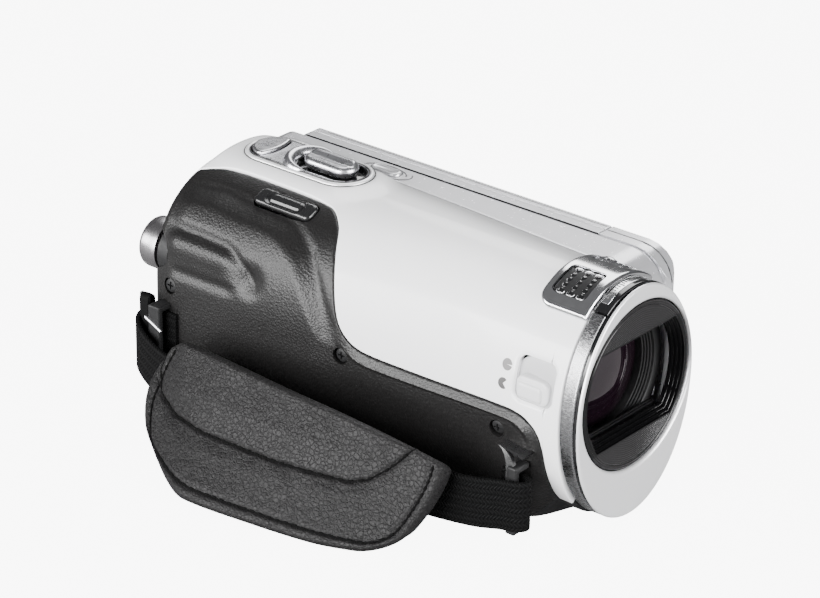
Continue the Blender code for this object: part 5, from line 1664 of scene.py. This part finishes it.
def capsule(start, end, radius):
    """A rounded thread from one point to another."""
    shares = (0.0, 0.06, 0.2, 0.5, 0.8, 0.94, 1.0)
    sizes = (0.25, 0.7, 0.95, 1.0, 0.95, 0.7, 0.25)
    run = Vector(end - start).normalized()
    side = run.orthogonal().normalized()
    up = side.cross(run)
    turns = np.linspace(0.0, 2 * np.pi, 8, endpoint=False)
    spokes = np.outer(np.cos(turns), side) + np.outer(np.sin(turns), up)
    rings = [start + (end - start) * share + spokes * radius * size for share, size in zip(shares, sizes)]
    return rings_solid(rings)


def smooth_path(points, steps):
    """Points on a smooth curve through the given ones."""
    ends = [np.array(p, float) for p in (points[0], *points, points[-1])]
    path = []
    for a, b, c, d in zip(ends, ends[1:], ends[2:], ends[3:]):
        for k in range(steps):
            t = k / steps
            bend = (2 * a - 5 * b + 4 * c - d) * t**2 + (3 * b - a - 3 * c + d) * t**3
            path.append(0.5 * (2 * b + (c - a) * t + bend))
    path.append(ends[-1])
    return np.array(path)


def build_webbing():
    """The woven band, upright across its width, with UVs in millimetres for its weave."""
    path, half_width, thickness = smooth_path(WEB_PATH, 8), 6.1, 1.2
    run = np.gradient(path, axis=0)
    side = np.column_stack((run[:, 1], -run[:, 0], np.zeros(len(path))))
    side /= np.linalg.norm(side, axis=1, keepdims=True)
    across = graded(-half_width, half_width, 17, (0.1, 0.25, 0.5))
    inset = edge_drop(half_width - np.abs(across), thickness / 2)
    rise = np.zeros((len(across), 3))
    rise[:, 2] = across
    reach = (thickness / 2 - inset)[None, :, None]
    outer = path[:, None, :] + rise[None] + side[:, None, :] * reach
    inner = path[:, None, :] + rise[None] - side[:, None, :] * reach
    band = make("strap_band", grid_solid(outer, inner), "webbing", replaces=["strap_web"], smooth=60.0)
    travelled = np.concatenate(([0.0], np.cumsum(np.linalg.norm(np.diff(path, axis=0), axis=1))))
    u = np.repeat(travelled[:, None], len(across), axis=1).ravel()
    v = np.repeat(across[None, :], len(path), axis=0).ravel()
    layer = band.data.uv_layers.new(name="band")
    corner = np.zeros(len(band.data.loops), int)
    band.data.loops.foreach_get("vertex_index", corner)
    corner %= len(u)
    layer.data.foreach_set("uv", np.column_stack((u[corner], v[corner])).ravel())


def build_brackets():
    for node in ("anchor_front", "anchor_rear"):
        bevelled_copy(node, "matte_black", "camera", 0.5)
    build_front_lug()
    tab = [(y, rounded_rectangle((-29.6, 20.2), (half, 7.4), 1.2, 4))
           for y, half in ((117.0, 0.6), (117.3, 1.3), (118.6, 1.5), (120.0, 1.2), (120.4, 0.6))]
    make("strap_end_tab", stack_solid(tab, "y"), "webbing")
    pin = tube_solid([(-31.6, 117.4 - 0.55 * k, 22.7 - 0.26 * k) for k in range(10)], 0.5, 12)
    make("strap_pin", pin, "steel")


def build_front_lug():
    """The moulded lug that holds the strap: a thin plate above and a curved blade outside."""
    top = [(x, [(11.6, 20.4), (18.4, 21.4), (18.6, 21.2), (12.0, 19.6)]) for x in (-21.8, -25.0)]
    blade_line = ((18.5, 21.2), (17.0, 20.8), (15.6, 19.8), (14.6, 18.4), (14.1, 16.6), (13.9, 14.5))
    widths = (0.15, 0.5, 0.8, 1.0, 1.1, 1.1)
    rings = []
    for (y, z), width in zip(blade_line, widths):
        x = -24.6 - 0.5 * (21.2 - z) ** 0.7
        corners = [(x - 0.5, y + width), (x + 0.5, y + width), (x + 0.5, y - width), (x - 0.5, y - width)]
        rings.append(np.array([(a, b, z) for a, b in corners]))
    plate = stack_solid([(x, np.array(o)) for x, o in top], "x")
    make("front_lug", join([plate, rings_solid(rings)]), "lug_black")


# ------------------------------------------------------------------ inside and underneath


def build_inside():
    plain = (
        ("inner_frame", "steel", 0.2), ("main_board", "board_green", 0.1),
        ("image_sensor", "sensor_dark", 0.2), ("card_socket", "steel", 0.2),
        ("memory_card", "card_blue", 0.3), ("speaker", "matte_black", 0.2),
        ("guide_rod_left", "steel", 0.1), ("guide_rod_right", "steel", 0.1),
        ("mic_capsule_left", "steel", 0.15), ("mic_capsule_right", "steel", 0.15),
        ("battery_pack", "battery_grey", 0.5), ("tripod_bush", "steel", 0.2),
    )
    for node, look, width in plain:
        bevelled_copy(node, look, "camera", width)
    bevelled_copy("zoom_lens_group", "matte_black", "zoom_carriage", 0.2)
    door = bevelled_copy("battery_door", "matte_black", "battery_lid", 0.35)
    ridges = []
    for k in range(6):
        outline = rounded_rectangle((-9.4 + 0.9 * k, 82.0), (0.22, 4.0), 0.2, 3)
        ridges.append(prism(outline, "z", -1.0, 0.35))
    cut(door, join(ridges))


# ------------------------------------------------------------------ studio


# Strengths of what only the camera sees, and the surround's range of light, low to high.
FLOOR_GLOW, BACKDROP_GLOW = 8.2, 8.8
SURROUND_LIGHT = (0.1, 0.20)
# Soft lights, all aimed at the object: name, place in metres, size in metres, power in watts.
LIGHTS = (
    ("key_left", (-1.2, 0.05, 0.33), 0.9, 58.0),
    ("rear_left", (-0.86, 0.78, 0.34), 0.5, 16.0),
    ("top_right", (0.8, 0.35, 0.85), 0.7, 8.0),
    ("front_low", (0.1, -1.2, 0.35), 0.8, 35.0),
)
# The photograph's camera, fitted in the CAD step: turns in radians, place in layout millimetres.
CAMERA_TURNS = (0.8866179, 0.4439996, 0.0164325)
CAMERA_PLACE = (-522.3, -361.7, 353.2)
CAMERA_LENS = 143.96


def paper_look():
    """Pale paper: it shows bright to the camera and reflects less into the dark parts."""
    paper = Recipe("studio_paper", (0.24, 0.24, 0.24), 0.9)
    paper.rough(paper.remap(paper.noise(0.02, 2.0), 0.3, 0.7, 0.85, 0.95))
    glow = paper.add("ShaderNodeEmission", {"Color": (1.0, 1.0, 1.0, 1.0), "Strength": FLOOR_GLOW})
    both = paper.add("ShaderNodeAddShader", {0: paper.shader.outputs[0], 1: glow.outputs[0]})
    seen = paper.add("ShaderNodeLightPath").outputs["Is Camera Ray"]
    choice = paper.add("ShaderNodeMixShader", {0: seen, 1: paper.shader.outputs[0], 2: both.outputs[0]})
    output = paper.tree.nodes["Material Output"]
    paper.tree.links.new(choice.outputs[0], output.inputs["Surface"])
    return paper.material


def studio_world():
    """A soft surround, brighter overhead than at the horizon, and pale where the camera sees it."""
    world = bpy.data.worlds.new("studio_world")
    bpy.context.scene.world = world
    world.use_nodes = True
    tree = world.node_tree
    background = tree.nodes["Background"]
    spot = tree.nodes.new("ShaderNodeTexCoord")
    parts = tree.nodes.new("ShaderNodeSeparateXYZ")
    tree.links.new(spot.outputs["Generated"], parts.inputs[0])
    rise = tree.nodes.new("ShaderNodeMapRange")
    for socket, value in zip(("From Min", "From Max", "To Min", "To Max"), (0.0, 0.9, *SURROUND_LIGHT)):
        rise.inputs[socket].default_value = value
    tree.links.new(parts.outputs["Z"], rise.inputs["Value"])
    seen = tree.nodes.new("ShaderNodeLightPath")
    pick = tree.nodes.new("ShaderNodeMix")
    tree.links.new(seen.outputs["Is Camera Ray"], pick.inputs["Factor"])
    tree.links.new(rise.outputs["Result"], pick.inputs["A"])
    pick.inputs["B"].default_value = BACKDROP_GLOW
    tree.links.new(pick.outputs["Result"], background.inputs["Strength"])
    background.inputs["Color"].default_value = (0.98, 0.985, 1.0, 1.0)


def build_studio():
    """A plain pale floor, a pale surround and soft lights."""
    bm = bmesh.new()
    bmesh.ops.create_grid(bm, x_segments=2, y_segments=2, size=6.0)
    mesh = bpy.data.meshes.new("studio_floor")
    bm.to_mesh(mesh)
    bm.free()
    floor = add_object("studio_floor", mesh)
    floor.location = (0.0, 0.0, -0.0003)
    mesh.materials.append(paper_look())
    studio_world()
    for name, place, size, power in LIGHTS:
        light = bpy.data.lights.new(name, "AREA")
        light.size = size
        light.energy = power
        lamp = add_object(name, light)
        lamp.location = place
        aim = Vector((0.0, 0.0, 0.03)) - Vector(place)
        lamp.rotation_euler = aim.to_track_quat("-Z", "Y").to_euler()


def build_camera():
    """The photograph's camera."""
    azimuth, elevation, roll = CAMERA_TURNS
    back = Vector((
        -math.sin(azimuth) * math.cos(elevation), -math.cos(azimuth) * math.cos(elevation),
        math.sin(elevation),
    ))
    level = Vector((math.cos(azimuth), -math.sin(azimuth), 0.0))
    lifted = back.cross(level)
    right = level * math.cos(roll) + lifted * math.sin(roll)
    up = back.cross(right)
    lens = bpy.data.cameras.new("photo_camera")
    lens.lens = CAMERA_LENS
    lens.sensor_width = 36.0
    lens.clip_start = 0.01
    camera = add_object("photo_camera", lens)
    turn = Matrix((right, up, back)).transposed().to_4x4()
    camera.matrix_world = Matrix.Translation(Vector(to_row(CAMERA_PLACE))) @ turn
    bpy.context.scene.camera = camera


for build in (
    build_white_cover, build_grip_cover, build_side_cover, build_bottom_cover, build_rear_cover,
    build_screws, build_bezel, build_front_ring, build_shield, build_lens, build_saddle,
    build_mic_band, build_switch, build_island, build_lever, build_buttons, build_flap,
    build_screen, build_pad, build_webbing, build_brackets, build_inside, build_studio,
    build_camera,
):
    build()
